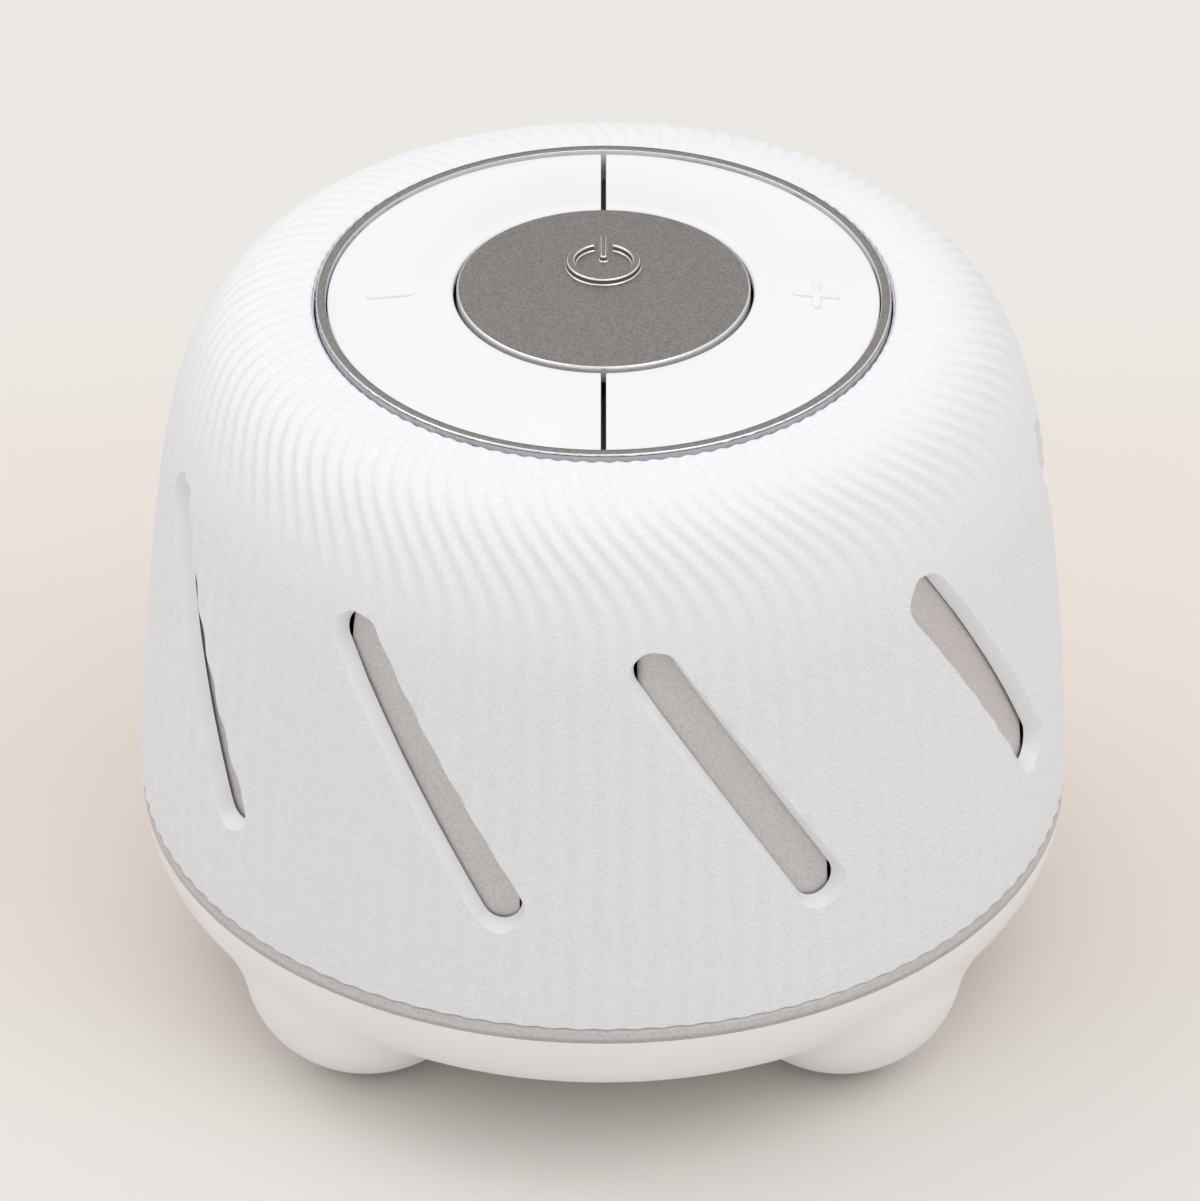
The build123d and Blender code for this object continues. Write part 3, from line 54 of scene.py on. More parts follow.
# ---------------------------------------------------------------- how finely pieces are made
TURN_STEPS = 128          # steps in a full turn
ROUND_POINTS = 7          # points on a quarter round
POST_SIDES = 32
EDGE_STEPS = 4            # faces across a rounded edge
ROUNDED_ANGLE = 50.0      # edges sharper than this, in degrees, are rounded
SHADED_ANGLE = 40.0       # edges blunter than this are shaded smooth
MERGE = 0.01              # points nearer to each other than this, in mm, become one

# ---------------------------------------------------------------- sizes of the cover, in mm
FOOT_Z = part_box("outer_cover")[0].z / MM
LINE_POINTS = [(70.0, 0.0), (67.8, 32.5), (64.9, 56.0), (60.6, 70.8), (55.4, 77.5), (42.7, 81.2)]
LINE_STEPS = 60           # steps from one of these points, radius and height above the foot, to the next
FOOT_WAY = (-0.03, 1.0)   # the outline's direction at the foot
RIM_WAY = (-1.0, 0.13)    # and at the rim
WALL = 2.5
FOOT_ROUND = 0.35
FOOT_ROUND_STEPS = [(1.0, 0.0), (0.3, 0.08), (0.08, 0.3)]   # inwards and up, as shares of it
RIM_SLOPE = (0.95, 0.55)  # the plain band between the ribs and the ring: its width and its drop
RIM_SLOPE_STEPS = [(0.75, 0.12), (0.4, 0.4)]   # outwards and down, as shares of these
RIM_SLOPE_INSIDE = 0.25   # share of its width that lies inside the outline's end
RIM_ROUND = 0.25
RIM_ROUND_MIDDLE = 0.3    # how far the round's middle is from its corner, as a share of it
SIDE_ROW = 4.0            # height of a row of faces on the straight side
SHOULDER_ROW = 1.0        # and on the shoulder, where the ribs turn
SHOULDER_EARLY = 4.0      # the fine rows start this much below the swirl
INNER_ROWS = 10
INNER_END = 2.0           # the inner wall stops this far short of the outline's end
INNER_GAP = 0.5           # and this far outside the rim's wall

SLOTS = 9
SLOT_AZIMUTH = 17.3
SLOT_MID_H = 38.9
SLOT_LENGTH = 53.1
SLOT_WIDTH = 8.0
SLOT_SLANT = 32.0
SLOT_FLARE = 0.36         # growth of half the width from the inside out, per mm of depth
SLOT_LIP = 0.12           # height of the round where the slot meets the outside
SLOT_LIP_WIDTH = 0.8      # its width, as a share of that
SLOT_LIP_TURNS = (0.35, 0.65, 0.85, 1.0)   # shares of its quarter turn that have points
SLOT_END_POINTS = 25
SLOT_SIDE_POINTS = 40
CUTTER_SINK = 1.5         # how far the cutter reaches through the wall
CUTTER_RISE = [(0.3, 0.6), (7.0, 0.4)]   # its heights outside, and how much wider it grows there
SLOT_WALL_DEPTHS = (0.35, WALL - 0.15)   # a face between these depths and heights is a slot's wall
SLOT_WALL_HEIGHTS = (8.0, 75.0)
SAME_AZIMUTH = 1e-4       # radians between a face on a side of the sector and that side
MEASURED_AT_ONCE = 4096   # points whose distance to the outline is worked out together

RIBS = 108
RIB_DEPTHS = [(0.0, 0.14), (12.0, 0.18), (56.0, 0.18), (70.0, 0.22), (78.0, 0.22), (81.0, 0.14)]
RIB_PHASE = 0.4           # azimuth of a crest; the depths above go by height on the cover
RIB_COLUMNS = 8           # columns of faces across one rib
SWIRL_START_H = 63.5      # the ribs are upright below this height on the cover
SWIRL = 0.0467            # degrees of turn per square millimetre of height above it

# ---------------------------------------------------------------- sizes of the drum's windows, in mm
WINDOW_AZIMUTH = 36.4     # middle of a window of the drum's solid
WINDOW_ARC = 15.5
WINDOW_HEIGHTS = (15.0, 64.0)   # above the cover's foot
WINDOW_MARGINS = (0.1, 0.05)   # degrees and mm by which a point of its edge may lie outside it
WINDOW_TURN = 0.57        # degrees
WINDOW_NARROWER = 0.027   # share of its arc

# ---------------------------------------------------------------- sizes of the ring and buttons, in mm
BUTTON_OUTER_R = 40.5
BUTTON_INNER_R = 22.05
BUTTON_TOP = [(40.5, 111.2), (31.6, 111.75), (22.7, 112.95)]   # their hollow top, radius and height
BUTTON_TOP_POINTS = 12
BUTTON_THICK = 1.8
BUTTON_BEVEL = (0.65, 0.35)    # at the inner edge: its width and its drop
BUTTON_SPLIT = 0.75
BUTTON_ROOT_Z = 111.2     # the posts reach up to here
BUTTON_ROUND = 0.35
RING_TOP_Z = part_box("bezel_ring")[1].z / MM
RING_CHAMFER = 0.25       # of the ring's solid
RING_CORNERS = [(40.75, 0.3), (42.2, 0.8)]   # radius, and the share of the chamfer that stays
RING_MARGIN = 0.02        # how far outside a chamfer one of its points may lie
# Painted shade: the ring's outer wall is painted dark from its chamfer down this far, for the shade of the
# gap at the cover's rim.
RING_SHADE_LINE = 0.36          # down to here the wall under the outer chamfer is dark
RING_WALL_R = 42.0        # what lies outside this is the outer wall
SIGN_PLACE_R = 31.2
SIGN_LENGTH = 7.0
SIGN_WIDTH = 1.3
SIGN_END = 0.45           # radius of its corners, as a share of its width
SIGN_RAISE = 0.3
SIGN_SINK = 0.4
SIGN_ROUND = 0.16
SIGN_EDGE_STEPS = 3

POWER_R = 21.55
POWER_TOP_Z = 113.25
POWER_LOW_Z = 110.65
POWER_SKIRT = 1.6
POWER_THICK = 1.8
POWER_ROUND = 0.35
POWER_MIDDLE_R = 0.5      # a plug closes the middle of the turned cap
POWER_SIGN_Y = 6.05       # middle of the broken ring
POWER_SIGN_R = 5.45       # its outer radius
POWER_SIGN_LINE = 1.2
POWER_SIGN_GAP = 38.0     # degrees
POWER_SIGN_TURN_STEPS = 72
POWER_SIGN_BAR = 6.4
POWER_SIGN_BAR_LINE = 1.0
POWER_SIGN_BAR_FOOT = 0.75     # the bar starts this far behind the ring's middle
POWER_SIGN_BAR_END = 0.4  # radius of its corners, as a share of its width
POWER_SIGN_SINK = 0.3
POWER_SIGN_START = 0.01   # the steps start this far under the button's top
# The steps of the sign's section: narrower on each side, and higher.
SIGN_STEPS = [(0.1, 0.05), (0.07, 0.12), (0.03, 0.5), (0.04, 0.12), (0.07, 0.08), (0.08, 0.04)]
SIGN_WALL_STEPS = 3       # the steps that make its hollow root and its wall

GUIDE_R = 1.6             # posts under the buttons that run in the deck
BARB_R = 2.1
BARB_Z = (104.25, 105.45)
PLUNGER_R = 2.0
PLUNGER_LOW_Z = 105.5
GUIDE_PLACE_R = 30.0
GUIDE_SPREAD = 50.0       # degrees from the middle of a side button to each of its posts
POWER_GUIDE_PLACE_R = 15.0
POWER_GUIDE_AZIMUTHS = (0, 120, 240)
POWER_POST_SINK = 1.0     # how far the posts reach into the power button's top
SWITCH_PLACE_R = 27.0

# ---------------------------------------------------------------- which face gets which finish
# The last place in a piece's materials holds painted shade.
FACE_FINISH, EDGE_FINISH, WALL_FINISH, SHADE_FINISH = range(4)   # places in a piece's materials
LEVEL = 0.99              # a face whose normal rises more than this is level
LACQUERED = 0.95          # on the ring, a face that rises more than this is its top
SLOPING = 0.3             # and one that rises more than this is a chamfer
POWER_WALL_MARGIN = 0.1   # mm inside the power button's radius
SIGN_WALL_START = 0.1     # mm above its top


# ---------------------------------------------------------------- mesh helpers
def only(thing):
    """Selects one object alone and makes it the active one."""
    bpy.ops.object.select_all(action="DESELECT")
    thing.select_set(True)
    bpy.context.view_layer.objects.active = thing


def mesh_object(name, points, edges=(), faces=()):
    """A new object with a mesh of its own."""
    mesh = bpy.data.meshes.new(name)
    mesh.from_pydata(points, edges, faces)
    thing = bpy.data.objects.new(name, mesh)
    bpy.context.scene.collection.objects.link(thing)
    only(thing)
    return thing


def edit(thing, selected="SELECT"):
    """Opens a mesh in edit mode with all or nothing selected."""
    only(thing)
    bpy.ops.object.mode_set(mode="EDIT")
    bpy.ops.mesh.select_all(action=selected)


def done():
    """Leaves edit mode."""
    bpy.ops.object.mode_set(mode="OBJECT")


def modify(thing, kind, **settings):
    """Adds a modifier with its settings and applies it."""
    only(thing)
    modifier = thing.modifiers.new(kind.lower(), kind)
    for name, value in settings.items():
        setattr(modifier, name, value)
    bpy.ops.object.modifier_apply(modifier=modifier.name)


def move_points(thing, rule):
    """Moves every point of a mesh by a rule that works on the whole array of points."""
    mesh = thing.data
    places = np.empty(len(mesh.vertices) * 3)
    mesh.vertices.foreach_get("co", places)
    mesh.vertices.foreach_set("co", rule(places.reshape(-1, 3)).ravel())
    mesh.update()


def turned(name, section, first=0.0, arc=360.0, steps=TURN_STEPS, centre_y=0.0):
    """A closed section of radius and height, in mm, turned about an upright axis."""
    turn = radians(first + arc)
    middle = Vector((0, centre_y * MM, 0))
    points = [middle + MM * Vector((r * sin(turn), -r * cos(turn), z)) for r, z in section]
    count = len(points)
    if arc == 360:
        piece = mesh_object(name, points, edges=[(k, (k + 1) % count) for k in range(count)])
    else:
        piece = mesh_object(name, points, faces=[tuple(range(count))])
    edit(piece)
    bpy.ops.mesh.spin(steps=steps, angle=radians(arc), center=middle, axis=(0, 0, 1))
    close_up()
    return piece


def close_up():
    """In edit mode: merges what meets, turns the faces outwards and goes back to object mode."""
    bpy.ops.mesh.select_all(action="SELECT")
    bpy.ops.mesh.remove_doubles(threshold=MERGE * MM)
    bpy.ops.mesh.normals_make_consistent(inside=False)
    done()


def raised_plate(name, outline, low, high):
    """A flat outline of x and y, in mm, raised between two heights."""
    points = [MM * Vector((x, y, low)) for x, y in outline]
    plate = mesh_object(name, points, faces=[tuple(range(len(points)))])
    edit(plate)
    bpy.ops.mesh.extrude_region_move(TRANSFORM_OT_translate={"value": (0, 0, (high - low) * MM)})
    close_up()
    return plate


def round_edges(piece, radius, segments=EDGE_STEPS):
    """Rounds every sharp edge of a piece."""
    angle = radians(ROUNDED_ANGLE)
    modify(piece, "BEVEL", width=radius * MM, segments=segments, limit_method="ANGLE", angle_limit=angle)


def join(pieces):
    """Joins pieces into the first one."""
    only(pieces[0])
    for piece in pieces[1:]:
        piece.select_set(True)
    bpy.ops.object.join()
    return pieces[0]


def post(radius, low, high, x, y):
    """An upright round post between two heights."""
    bpy.ops.object.select_all(action="DESELECT")
    middle = MM * Vector((x, y, (low + high) / 2))
    tall = (high - low) * MM
    bpy.ops.mesh.primitive_cylinder_add(
        vertices=POST_SIDES, radius=radius * MM, depth=tall, location=middle
    )
    bpy.ops.object.transform_apply()
    return bpy.context.active_object


def finish_piece(piece, body, node, slot, *materials):
    """Shades a piece, gives it its materials and puts it in its node's place."""
    only(piece)
    bpy.ops.object.shade_smooth_by_angle(angle=radians(SHADED_ANGLE))
    piece.data.materials.clear()
    for material in materials:
        piece.data.materials.append(material)
    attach(piece, body)
    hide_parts(node)


# ---------------------------------------------------------------- patterns of the finishes, in mm
PATCH = 18.0              # slow patches of tone in moulded stock
LEATHER_CELL = 0.6        # the cover's leathery grain
LEATHER_PIT = 0.3
LEATHER_SQUEEZE = (1.0, 1.0, 1.5)   # its cells are lower than they are wide
# Painted shade: the grain's pits are coloured greyer than its tops.
LEATHER_SHADE = (0.55, 1.25)   # heights of the pattern where its dark and its light are full
LEATHER_DEPTH = 0.14
LEATHER_FADE_Z = (85.0, 100.0)   # it grows fainter over the shoulder
LEATHER_FADED = 0.35      # down to this share
FLAKE = 0.22              # an aluminium flake, drawn coarse enough to show
FLAKE_DEPTH = 0.008
CUT_MARK = 0.8            # a cut edge's marks, drawn coarse enough to show
CUT_MARK_DEPTH = 0.004
TRACK_PITCH = 12.0        # of the copper tracks
TRACK_DEPTH = 0.03
DRAWN_LINE = 1.2          # length of a line in drawn metal; the squeeze gives its width
DRAWN_LINE_DEPTH = 0.01
HALF_SHEET = 0.5          # half a lamination, drawn twice as thick as it is
SHEET_DEPTH = 0.05
BARS = 3                  # of the commutator
BAR_GAP = 0.02            # turns from the middle of a slot to a bar
BAR_DEPTH = 0.1
PAPER_GRAIN = 0.8         # of the floor
PAPER_DEPTH = 0.01
ROUGH_SWING = 0.06        # how far the roughness follows a grain, up and down
METAL_SWING = 0.07        # and the lines of drawn metal


# ---------------------------------------------------------------- materials
def linear(colour):
    """A colour written as #rrggbb, as linear red, green, blue and alpha."""
    parts = [int(colour[place:place + 2], 16) / 255 for place in (1, 3, 5)]
    return [c / 12.92 if c <= 0.04045 else ((c + 0.055) / 1.055) ** 2.4 for c in parts] + [1.0]


def add(tree, kind, inputs=None, **settings):
    """Adds a node: inputs are values or sockets by input name or number, settings its own."""
    node = tree.nodes.new(kind)
    for name, value in settings.items():
        setattr(node, name, value)
    for key, value in (inputs or {}).items():
        socket = node.inputs[key]
        if isinstance(value, bpy.types.NodeSocket):
            tree.links.new(value, socket)
        else:
            socket.default_value = value
    return node


def start(name, **shader_values):
    """A bare material: gives it with its tree, its shader and its Object coordinates."""
    material = bpy.data.materials.new(name)
    material.use_nodes = True
    tree = material.node_tree
    tree.nodes.clear()
    shader = add(tree, "ShaderNodeBsdfPrincipled")
    for key, value in shader_values.items():
        shader.inputs[key.replace("_", " ")].default_value = value
    add(tree, "ShaderNodeOutputMaterial", {"Surface": shader.outputs[0]})
    place = add(tree, "ShaderNodeTexCoord").outputs["Object"]
    return material, tree, shader, place


def noise(tree, place, size_mm, detail=2.0, roughness=0.5):
    """Noise whose patches are about size_mm across."""
    inputs = {"Vector": place, "Scale": 1 / (size_mm * MM), "Detail": detail, "Roughness": roughness}
    return add(tree, "ShaderNodeTexNoise", inputs).outputs[0]


def spread(tree, value, low, high, start_value=0.3, end_value=0.7):
    """Stretches a pattern's values to a range."""
    inputs = {0: value, 1: start_value, 2: end_value, 3: low, 4: high}
    return add(tree, "ShaderNodeMapRange", inputs).outputs[0]


def two_tone(tree, pattern, dark, light):
    """A colour between two written ones."""
    inputs = {0: pattern, 6: linear(dark), 7: linear(light)}
    return add(tree, "ShaderNodeMix", inputs, data_type="RGBA").outputs[2]


def grain(tree, shader, height, depth_mm, strength=1.0):
    """Bump from a height pattern whose full range is depth_mm, weakened by strength."""
    inputs = {"Height": height, "Distance": depth_mm * MM, "Strength": strength}
    bump = add(tree, "ShaderNodeBump", inputs)
    tree.links.new(bump.outputs[0], shader.inputs["Normal"])


def moulded(name, dark, light, rough, grain_mm, depth_mm, patch_mm=PATCH):
    """Moulded or cast stock: slow patches of tone, fine grain and a roughness that follows it."""
    material, tree, shader, place = start(name)
    patches = spread(tree, noise(tree, place, patch_mm), 0.0, 1.0)
    tree.links.new(two_tone(tree, patches, dark, light), shader.inputs["Base Color"])
    fine = noise(tree, place, grain_mm, detail=3.0, roughness=0.6)
    follows = spread(tree, fine, rough - ROUGH_SWING, rough + ROUGH_SWING)
    tree.links.new(follows, shader.inputs["Roughness"])
    grain(tree, shader, fine, depth_mm)
    return material


def spark_eroded_abs():
    """White ABS from a spark-eroded mould: a fine leathery grain whose pits are painted a little greyer,
    as painted shade.
    """
    material, tree, shader, place = start("spark_eroded_white_abs")
    inputs = {0: place, 1: LEATHER_SQUEEZE}
    squeezed = add(tree, "ShaderNodeVectorMath", inputs, operation="MULTIPLY").outputs[0]
    inputs = {"Vector": squeezed, "Scale": 1 / (LEATHER_CELL * MM), "Smoothness": 0.4}
    cells = add(tree, "ShaderNodeTexVoronoi", inputs, feature="SMOOTH_F1").outputs[0]
    pits = noise(tree, squeezed, LEATHER_PIT, detail=2.0, roughness=0.6)
    height = add(tree, "ShaderNodeMath", {0: cells, 1: pits}, operation="ADD").outputs[0]
    shade = spread(tree, height, 0.0, 1.0, *LEATHER_SHADE)
    tree.links.new(two_tone(tree, shade, "#F2F3F6", "#F9F9FC"), shader.inputs["Base Color"])
    tree.links.new(spread(tree, pits, 0.46, 0.6), shader.inputs["Roughness"])
    up = add(tree, "ShaderNodeSeparateXYZ", {0: place}).outputs[2]
    fade_start, fade_end = (z * MM for z in LEATHER_FADE_Z)
    grain(tree, shader, height, LEATHER_DEPTH, spread(tree, up, 1.0, LEATHER_FADED, fade_start, fade_end))
    return material


def silver_paint(name, dark, light, metallic, rough):
    """Silver lacquer on plastic: flakes of aluminium, each of its own tone."""
    material, tree, shader, place = start(name, Metallic=metallic)
    flakes = add(tree, "ShaderNodeTexVoronoi", {"Vector": place, "Scale": 1 / (FLAKE * MM)})
    bright = add(tree, "ShaderNodeSeparateColor", {0: flakes.outputs["Color"]}).outputs[0]
    tree.links.new(two_tone(tree, bright, dark, light), shader.inputs["Base Color"])
    follows = spread(tree, bright, rough - ROUGH_SWING, rough + ROUGH_SWING, 0.0, 1.0)
    tree.links.new(follows, shader.inputs["Roughness"])
    grain(tree, shader, bright, FLAKE_DEPTH)
    return material


def polished_edge():
    """Diamond-cut aluminium: bright, with fine marks that soften its gloss."""
    material, tree, shader, place = start("diamond_cut_edge", Metallic=1.0)
    marks = noise(tree, place, CUT_MARK)
    bright = two_tone(tree, spread(tree, marks, 0.0, 1.0), "#F2F1F1", "#FBFAFA")
    tree.links.new(bright, shader.inputs["Base Color"])
    tree.links.new(spread(tree, marks, 0.14, 0.24), shader.inputs["Roughness"])
    grain(tree, shader, marks, CUT_MARK_DEPTH)
    return material


def solder_mask_board():
    """Green solder mask over copper tracks, which show as a lighter green."""
    material, tree, shader, place = start("solder_mask_board", Roughness=0.35)
    inputs = {
        "Vector": place,
        "Scale": 1 / (TRACK_PITCH * MM),
        "Mortar Size": 0.06,
        "Color1": linear("#0F4A2A"),
        "Color2": linear("#115230"),
        "Mortar": linear("#2F7A4C"),
    }
    tracks = add(tree, "ShaderNodeTexBrick", inputs)
    tree.links.new(tracks.outputs[0], shader.inputs["Base Color"])
    grain(tree, shader, tracks.outputs["Fac"], TRACK_DEPTH)
    return material


def rolled_metal(name, dark, light, rough, squeeze=(1.0, 1.0, 12.0)):
    """Drawn or turned metal: fine lines along one direction."""
    material, tree, shader, place = start(name, Metallic=1.0)
    pulled = add(tree, "ShaderNodeVectorMath", {0: place, 1: squeeze}, operation="MULTIPLY")
    lines = noise(tree, pulled.outputs[0], DRAWN_LINE, detail=3.0, roughness=0.6)
    tree.links.new(two_tone(tree, spread(tree, lines, 0.0, 1.0), dark, light), shader.inputs["Base Color"])
    follows = spread(tree, lines, rough - METAL_SWING, rough + METAL_SWING)
    tree.links.new(follows, shader.inputs["Roughness"])
    grain(tree, shader, lines, DRAWN_LINE_DEPTH)
    return material


def stacked_laminations():
    """Silicon steel sheets stacked upright, with a dark joint between each two."""
    material, tree, shader, place = start("stacked_laminations", Metallic=1.0)
    height = add(tree, "ShaderNodeSeparateXYZ", {0: place}).outputs[2]
    sheet = add(tree, "ShaderNodeMath", {0: height, 1: HALF_SHEET * MM}, operation="PINGPONG")
    edge = spread(tree, sheet.outputs[0], 0.0, 1.0, 0.0, HALF_SHEET * MM)
    tree.links.new(two_tone(tree, edge, "#3A3734", "#8C8780"), shader.inputs["Base Color"])
    tree.links.new(spread(tree, noise(tree, place, 2.0), 0.35, 0.5), shader.inputs["Roughness"])
    grain(tree, shader, edge, SHEET_DEPTH)
    return material


def commutator_bars():
    """Copper bars with dark slots between them, round the shaft."""
    material, tree, shader, place = start("commutator_bars", Metallic=1.0)
    ring = add(tree, "ShaderNodeTexGradient", {0: place}, gradient_type="RADIAL").outputs[1]
    turns = add(tree, "ShaderNodeMath", {0: ring, 1: 1 / (2 * BARS)}, operation="PINGPONG")
    bars = spread(tree, turns.outputs[0], 0.0, 1.0, 0.0, BAR_GAP)
    tree.links.new(two_tone(tree, bars, "#2A1D16", "#B8704A"), shader.inputs["Base Color"])
    tree.links.new(spread(tree, noise(tree, place, 0.6), 0.25, 0.4), shader.inputs["Roughness"])
    grain(tree, shader, bars, BAR_DEPTH)
    return material


def make_finishes():
    """Every finish by the name of its material slot in the record."""
    return {
        "ribbed_white_shell": spark_eroded_abs(),
        "silver_drum": silver_paint("silver_lacquer", "#C9C4C3", "#DED9D9", 0.5, 0.45),
        "silver_trim": silver_paint("grey_silver_lacquer", "#7F7975", "#9C9692", 0.6, 0.42),
        "silver_button": silver_paint("dark_silver_lacquer", "#787370", "#999490", 0.6, 0.42),
        # Satin ABS from a fine-blasted mould: even and soft, with hardly any grain.
        "white_button": moulded("satin_white_abs", "#F3F3F5", "#F7F7F8", 0.42, 0.3, 0.006),
        "white_base": moulded("satin_white_base_abs", "#F5F3F4", "#F9F7F8", 0.45, 0.4, 0.008),
        # Silicone and rubber: dull, with a dusty bloom.
        "grey_rubber": moulded("grey_silicone", "#6E6C6A", "#7B7977", 0.75, 0.5, 0.02, 4.0),
        "black_rubber": moulded("black_rubber", "#1B1B1C", "#262627", 0.7, 0.5, 0.02, 3.0),
        # Zinc plate over drawn screws and rolled sheet: light grey, with the steel's fine lines.
        "zinc_screws": rolled_metal("zinc_plated_screw_steel", "#8F9296", "#B9BBBE", 0.3),
        "zinc_plate": rolled_metal("zinc_plated_sheet", "#96989A", "#BDBFC1", 0.35, (10.0, 1.0, 1.0)),
        # Nylon and PBT as moulded: half gloss, an even tone and a faint grain.
        "black_plastic": moulded("black_nylon", "#161617", "#222223", 0.5, 0.4, 0.01, 6.0),
        "grey_plastic": moulded("grey_pbt", "#8B8C8D", "#989A9B", 0.5, 0.4, 0.01, 6.0),
        "cream_plastic": moulded("cream_nylon", "#DDD5BE", "#E8E1CD", 0.45, 0.4, 0.01, 6.0),
        # Contact metals: nickel is warm and glossy, bare brass yellow and lined by the rolls.
        "nickel_contact": rolled_metal("nickel_plated_brass", "#B9B4A8", "#D2CDC2", 0.22),
        "brass_contact": rolled_metal("rolled_brass", "#B4935A", "#CBAA6E", 0.3, (1.0, 10.0, 1.0)),
        "green_board": solder_mask_board(),
        # Shrunk and extruded PVC: smooth and rather glossy.
        "capacitor_sleeve": moulded("pvc_capacitor_sleeve", "#22303F", "#2C3C4D", 0.3, 0.5, 0.01, 5.0),
        "red_insulation": moulded("red_pvc_insulation", "#A41D1A", "#B5241F", 0.4, 0.4, 0.01, 5.0),
        "black_insulation": moulded("black_pvc_insulation", "#18181A", "#222224", 0.4, 0.4, 0.01, 5.0),
        # Deep-drawn and ground steel: lines along the draw, finer gloss where it is ground.
        "motor_steel": rolled_metal("drawn_motor_can_steel", "#A5A6A8", "#C2C3C4", 0.28),
        "ground_steel": rolled_metal("ground_shaft_steel", "#B4B5B7", "#D4D5D6", 0.18),
        # Sintered ferrite: charcoal, dull and finely pitted.
        "ferrite": moulded("sintered_ferrite", "#2B2A2B", "#383638", 0.6, 0.25, 0.03, 3.0),
        "iron_laminations": stacked_laminations(),
        "copper_segments": commutator_bars(),
        # Polypropylene: waxy and even.
        "grey_fan_plastic": moulded("grey_fan_polypropylene", "#B9BABB", "#C5C6C7", 0.45, 0.6, 0.01, 10.0),
    }


def dress_nodes(finishes):
    """Gives every node of the frame the finish that its slot in the record names."""
    slot_of = {part["node"]: part["material_slot"] for part in frame["record"]["subparts"]}
    for name, thing in frame["nodes"].items():
        for material_slot in thing.material_slots:
            material_slot.material = finishes[slot_of[name]]


# ---------------------------------------------------------------- the cover's outline
def unit(way):
    """A direction brought to length one."""
    return np.array(way) / hypot(*way)


def smooth_line(points, first_way, last_way, per_span):
    """Points on the cubic spline through some points, with its directions at both ends given."""
    knots = np.array(points)
    gaps = np.linalg.norm(np.diff(knots, axis=0), axis=1)
    count = len(knots)
    system = np.eye(count)
    right = np.zeros((count, 2))
    right[0] = unit(first_way)
    right[-1] = unit(last_way)
    for k in range(1, count - 1):
        before, after = gaps[k - 1], gaps[k]
        system[k, k - 1:k + 2] = after, 2 * (before + after), before
        slope_before = (knots[k] - knots[k - 1]) / before
        slope_after = (knots[k + 1] - knots[k]) / after
        right[k] = 3 * (after * slope_before + before * slope_after)
    ways = np.linalg.solve(system, right)
    line = []
    for k in range(count - 1):
        for t in np.linspace(0, 1, per_span, endpoint=False):
            place = (2 * t ** 3 - 3 * t ** 2 + 1) * knots[k] + (3 * t ** 2 - 2 * t ** 3) * knots[k + 1]
            turn = (t ** 3 - 2 * t ** 2 + t) * ways[k] + (t ** 3 - t ** 2) * ways[k + 1]
            line.append(place + gaps[k] * turn)
    line.append(knots[-1])
    return np.array(line)


OUTLINE = smooth_line(LINE_POINTS, FOOT_WAY, RIM_WAY, LINE_STEPS)
OUTLINE_WAYS = np.gradient(OUTLINE, axis=0)
OUTLINE_WAYS /= np.linalg.norm(OUTLINE_WAYS, axis=1)[:, None]
OUTLINE_OUT = np.column_stack([OUTLINE_WAYS[:, 1], -OUTLINE_WAYS[:, 0]])
OUTLINE_RUN = np.concatenate([[0], np.cumsum(np.linalg.norm(np.diff(OUTLINE, axis=0), axis=1))])


def line_at(runs, inset=0.0):
    """Radius and height at distances along the outline, moved inwards."""
    moved = OUTLINE - inset * OUTLINE_OUT
    return np.column_stack([np.interp(runs, OUTLINE_RUN, moved[:, axis]) for axis in (0, 1)])


def cover_section():
    """The closed section of the cover's wall: radius and height above its foot."""
    total = OUTLINE_RUN[-1]
    side_end = np.interp(SWIRL_START_H - SHOULDER_EARLY, OUTLINE[:, 1], OUTLINE_RUN)
    side = np.arange(FOOT_ROUND, side_end, SIDE_ROW)
    wide, drop = RIM_SLOPE
    shoulder_end = total - (1 - RIM_SLOPE_INSIDE) * wide
    shoulder = np.linspace(side_end, shoulder_end, int((total - side_end) / SHOULDER_ROW))
    outer = line_at(np.concatenate([side, shoulder]))
    rim_r, rim_h = OUTLINE[-1]
    rim_r -= RIM_SLOPE_INSIDE * wide
    rim = [(rim_r + out * wide, rim_h - down * drop) for out, down in RIM_SLOPE_STEPS]
    middle = RIM_ROUND_MIDDLE * RIM_ROUND
    rim += [
        (rim_r + RIM_ROUND, rim_h - drop),
        (rim_r + middle, rim_h - drop - middle),
        (rim_r, rim_h - drop - RIM_ROUND),
        (rim_r, rim_h - WALL),
    ]
    inner = line_at(np.linspace(total - INNER_END, 0, INNER_ROWS), WALL)
    inner = [(r, max(h, 0.0)) for r, h in inner if r > rim_r + INNER_GAP]
    foot_r = OUTLINE[0][0]
    foot = [(foot_r - inwards * FOOT_ROUND, up * FOOT_ROUND) for inwards, up in FOOT_ROUND_STEPS]
    return [*map(tuple, outer), *rim, *inner, *foot]


# ---------------------------------------------------------------- the slots
def slot_levels():
    """The slot's flare and lip, from the inside out: height over the outside and half width."""
    half = SLOT_WIDTH / 2
    deepest = WALL + CUTTER_SINK
    below_lip = half - SLOT_FLARE * SLOT_LIP
    levels = [(-deepest, half - SLOT_FLARE * deepest), (-SLOT_LIP, below_lip)]
    for turn in SLOT_LIP_TURNS:
        angle = turn * pi / 2
        levels.append((-SLOT_LIP * cos(angle), below_lip + SLOT_LIP * (1 - cos(angle)) * SLOT_LIP_WIDTH))
    for height, wider in CUTTER_RISE:
        levels.append((height, levels[-1][1] + wider))
    return levels


def slot_outline():
    """Once round a stadium: each point's direction, and how far along the slot it starts."""
    straight = SLOT_LENGTH / 2 - SLOT_WIDTH / 2
    end = [radians(angle) for angle in np.linspace(0, 180, SLOT_END_POINTS)]
    side = np.linspace(straight, -straight, SLOT_SIDE_POINTS)[1:-1]
    around = [(angle, straight) for angle in end]
    around += [(pi, shift) for shift in side]
    around += [(pi + angle, -straight) for angle in end]
    around += [(2 * pi, -shift) for shift in side]
    return around


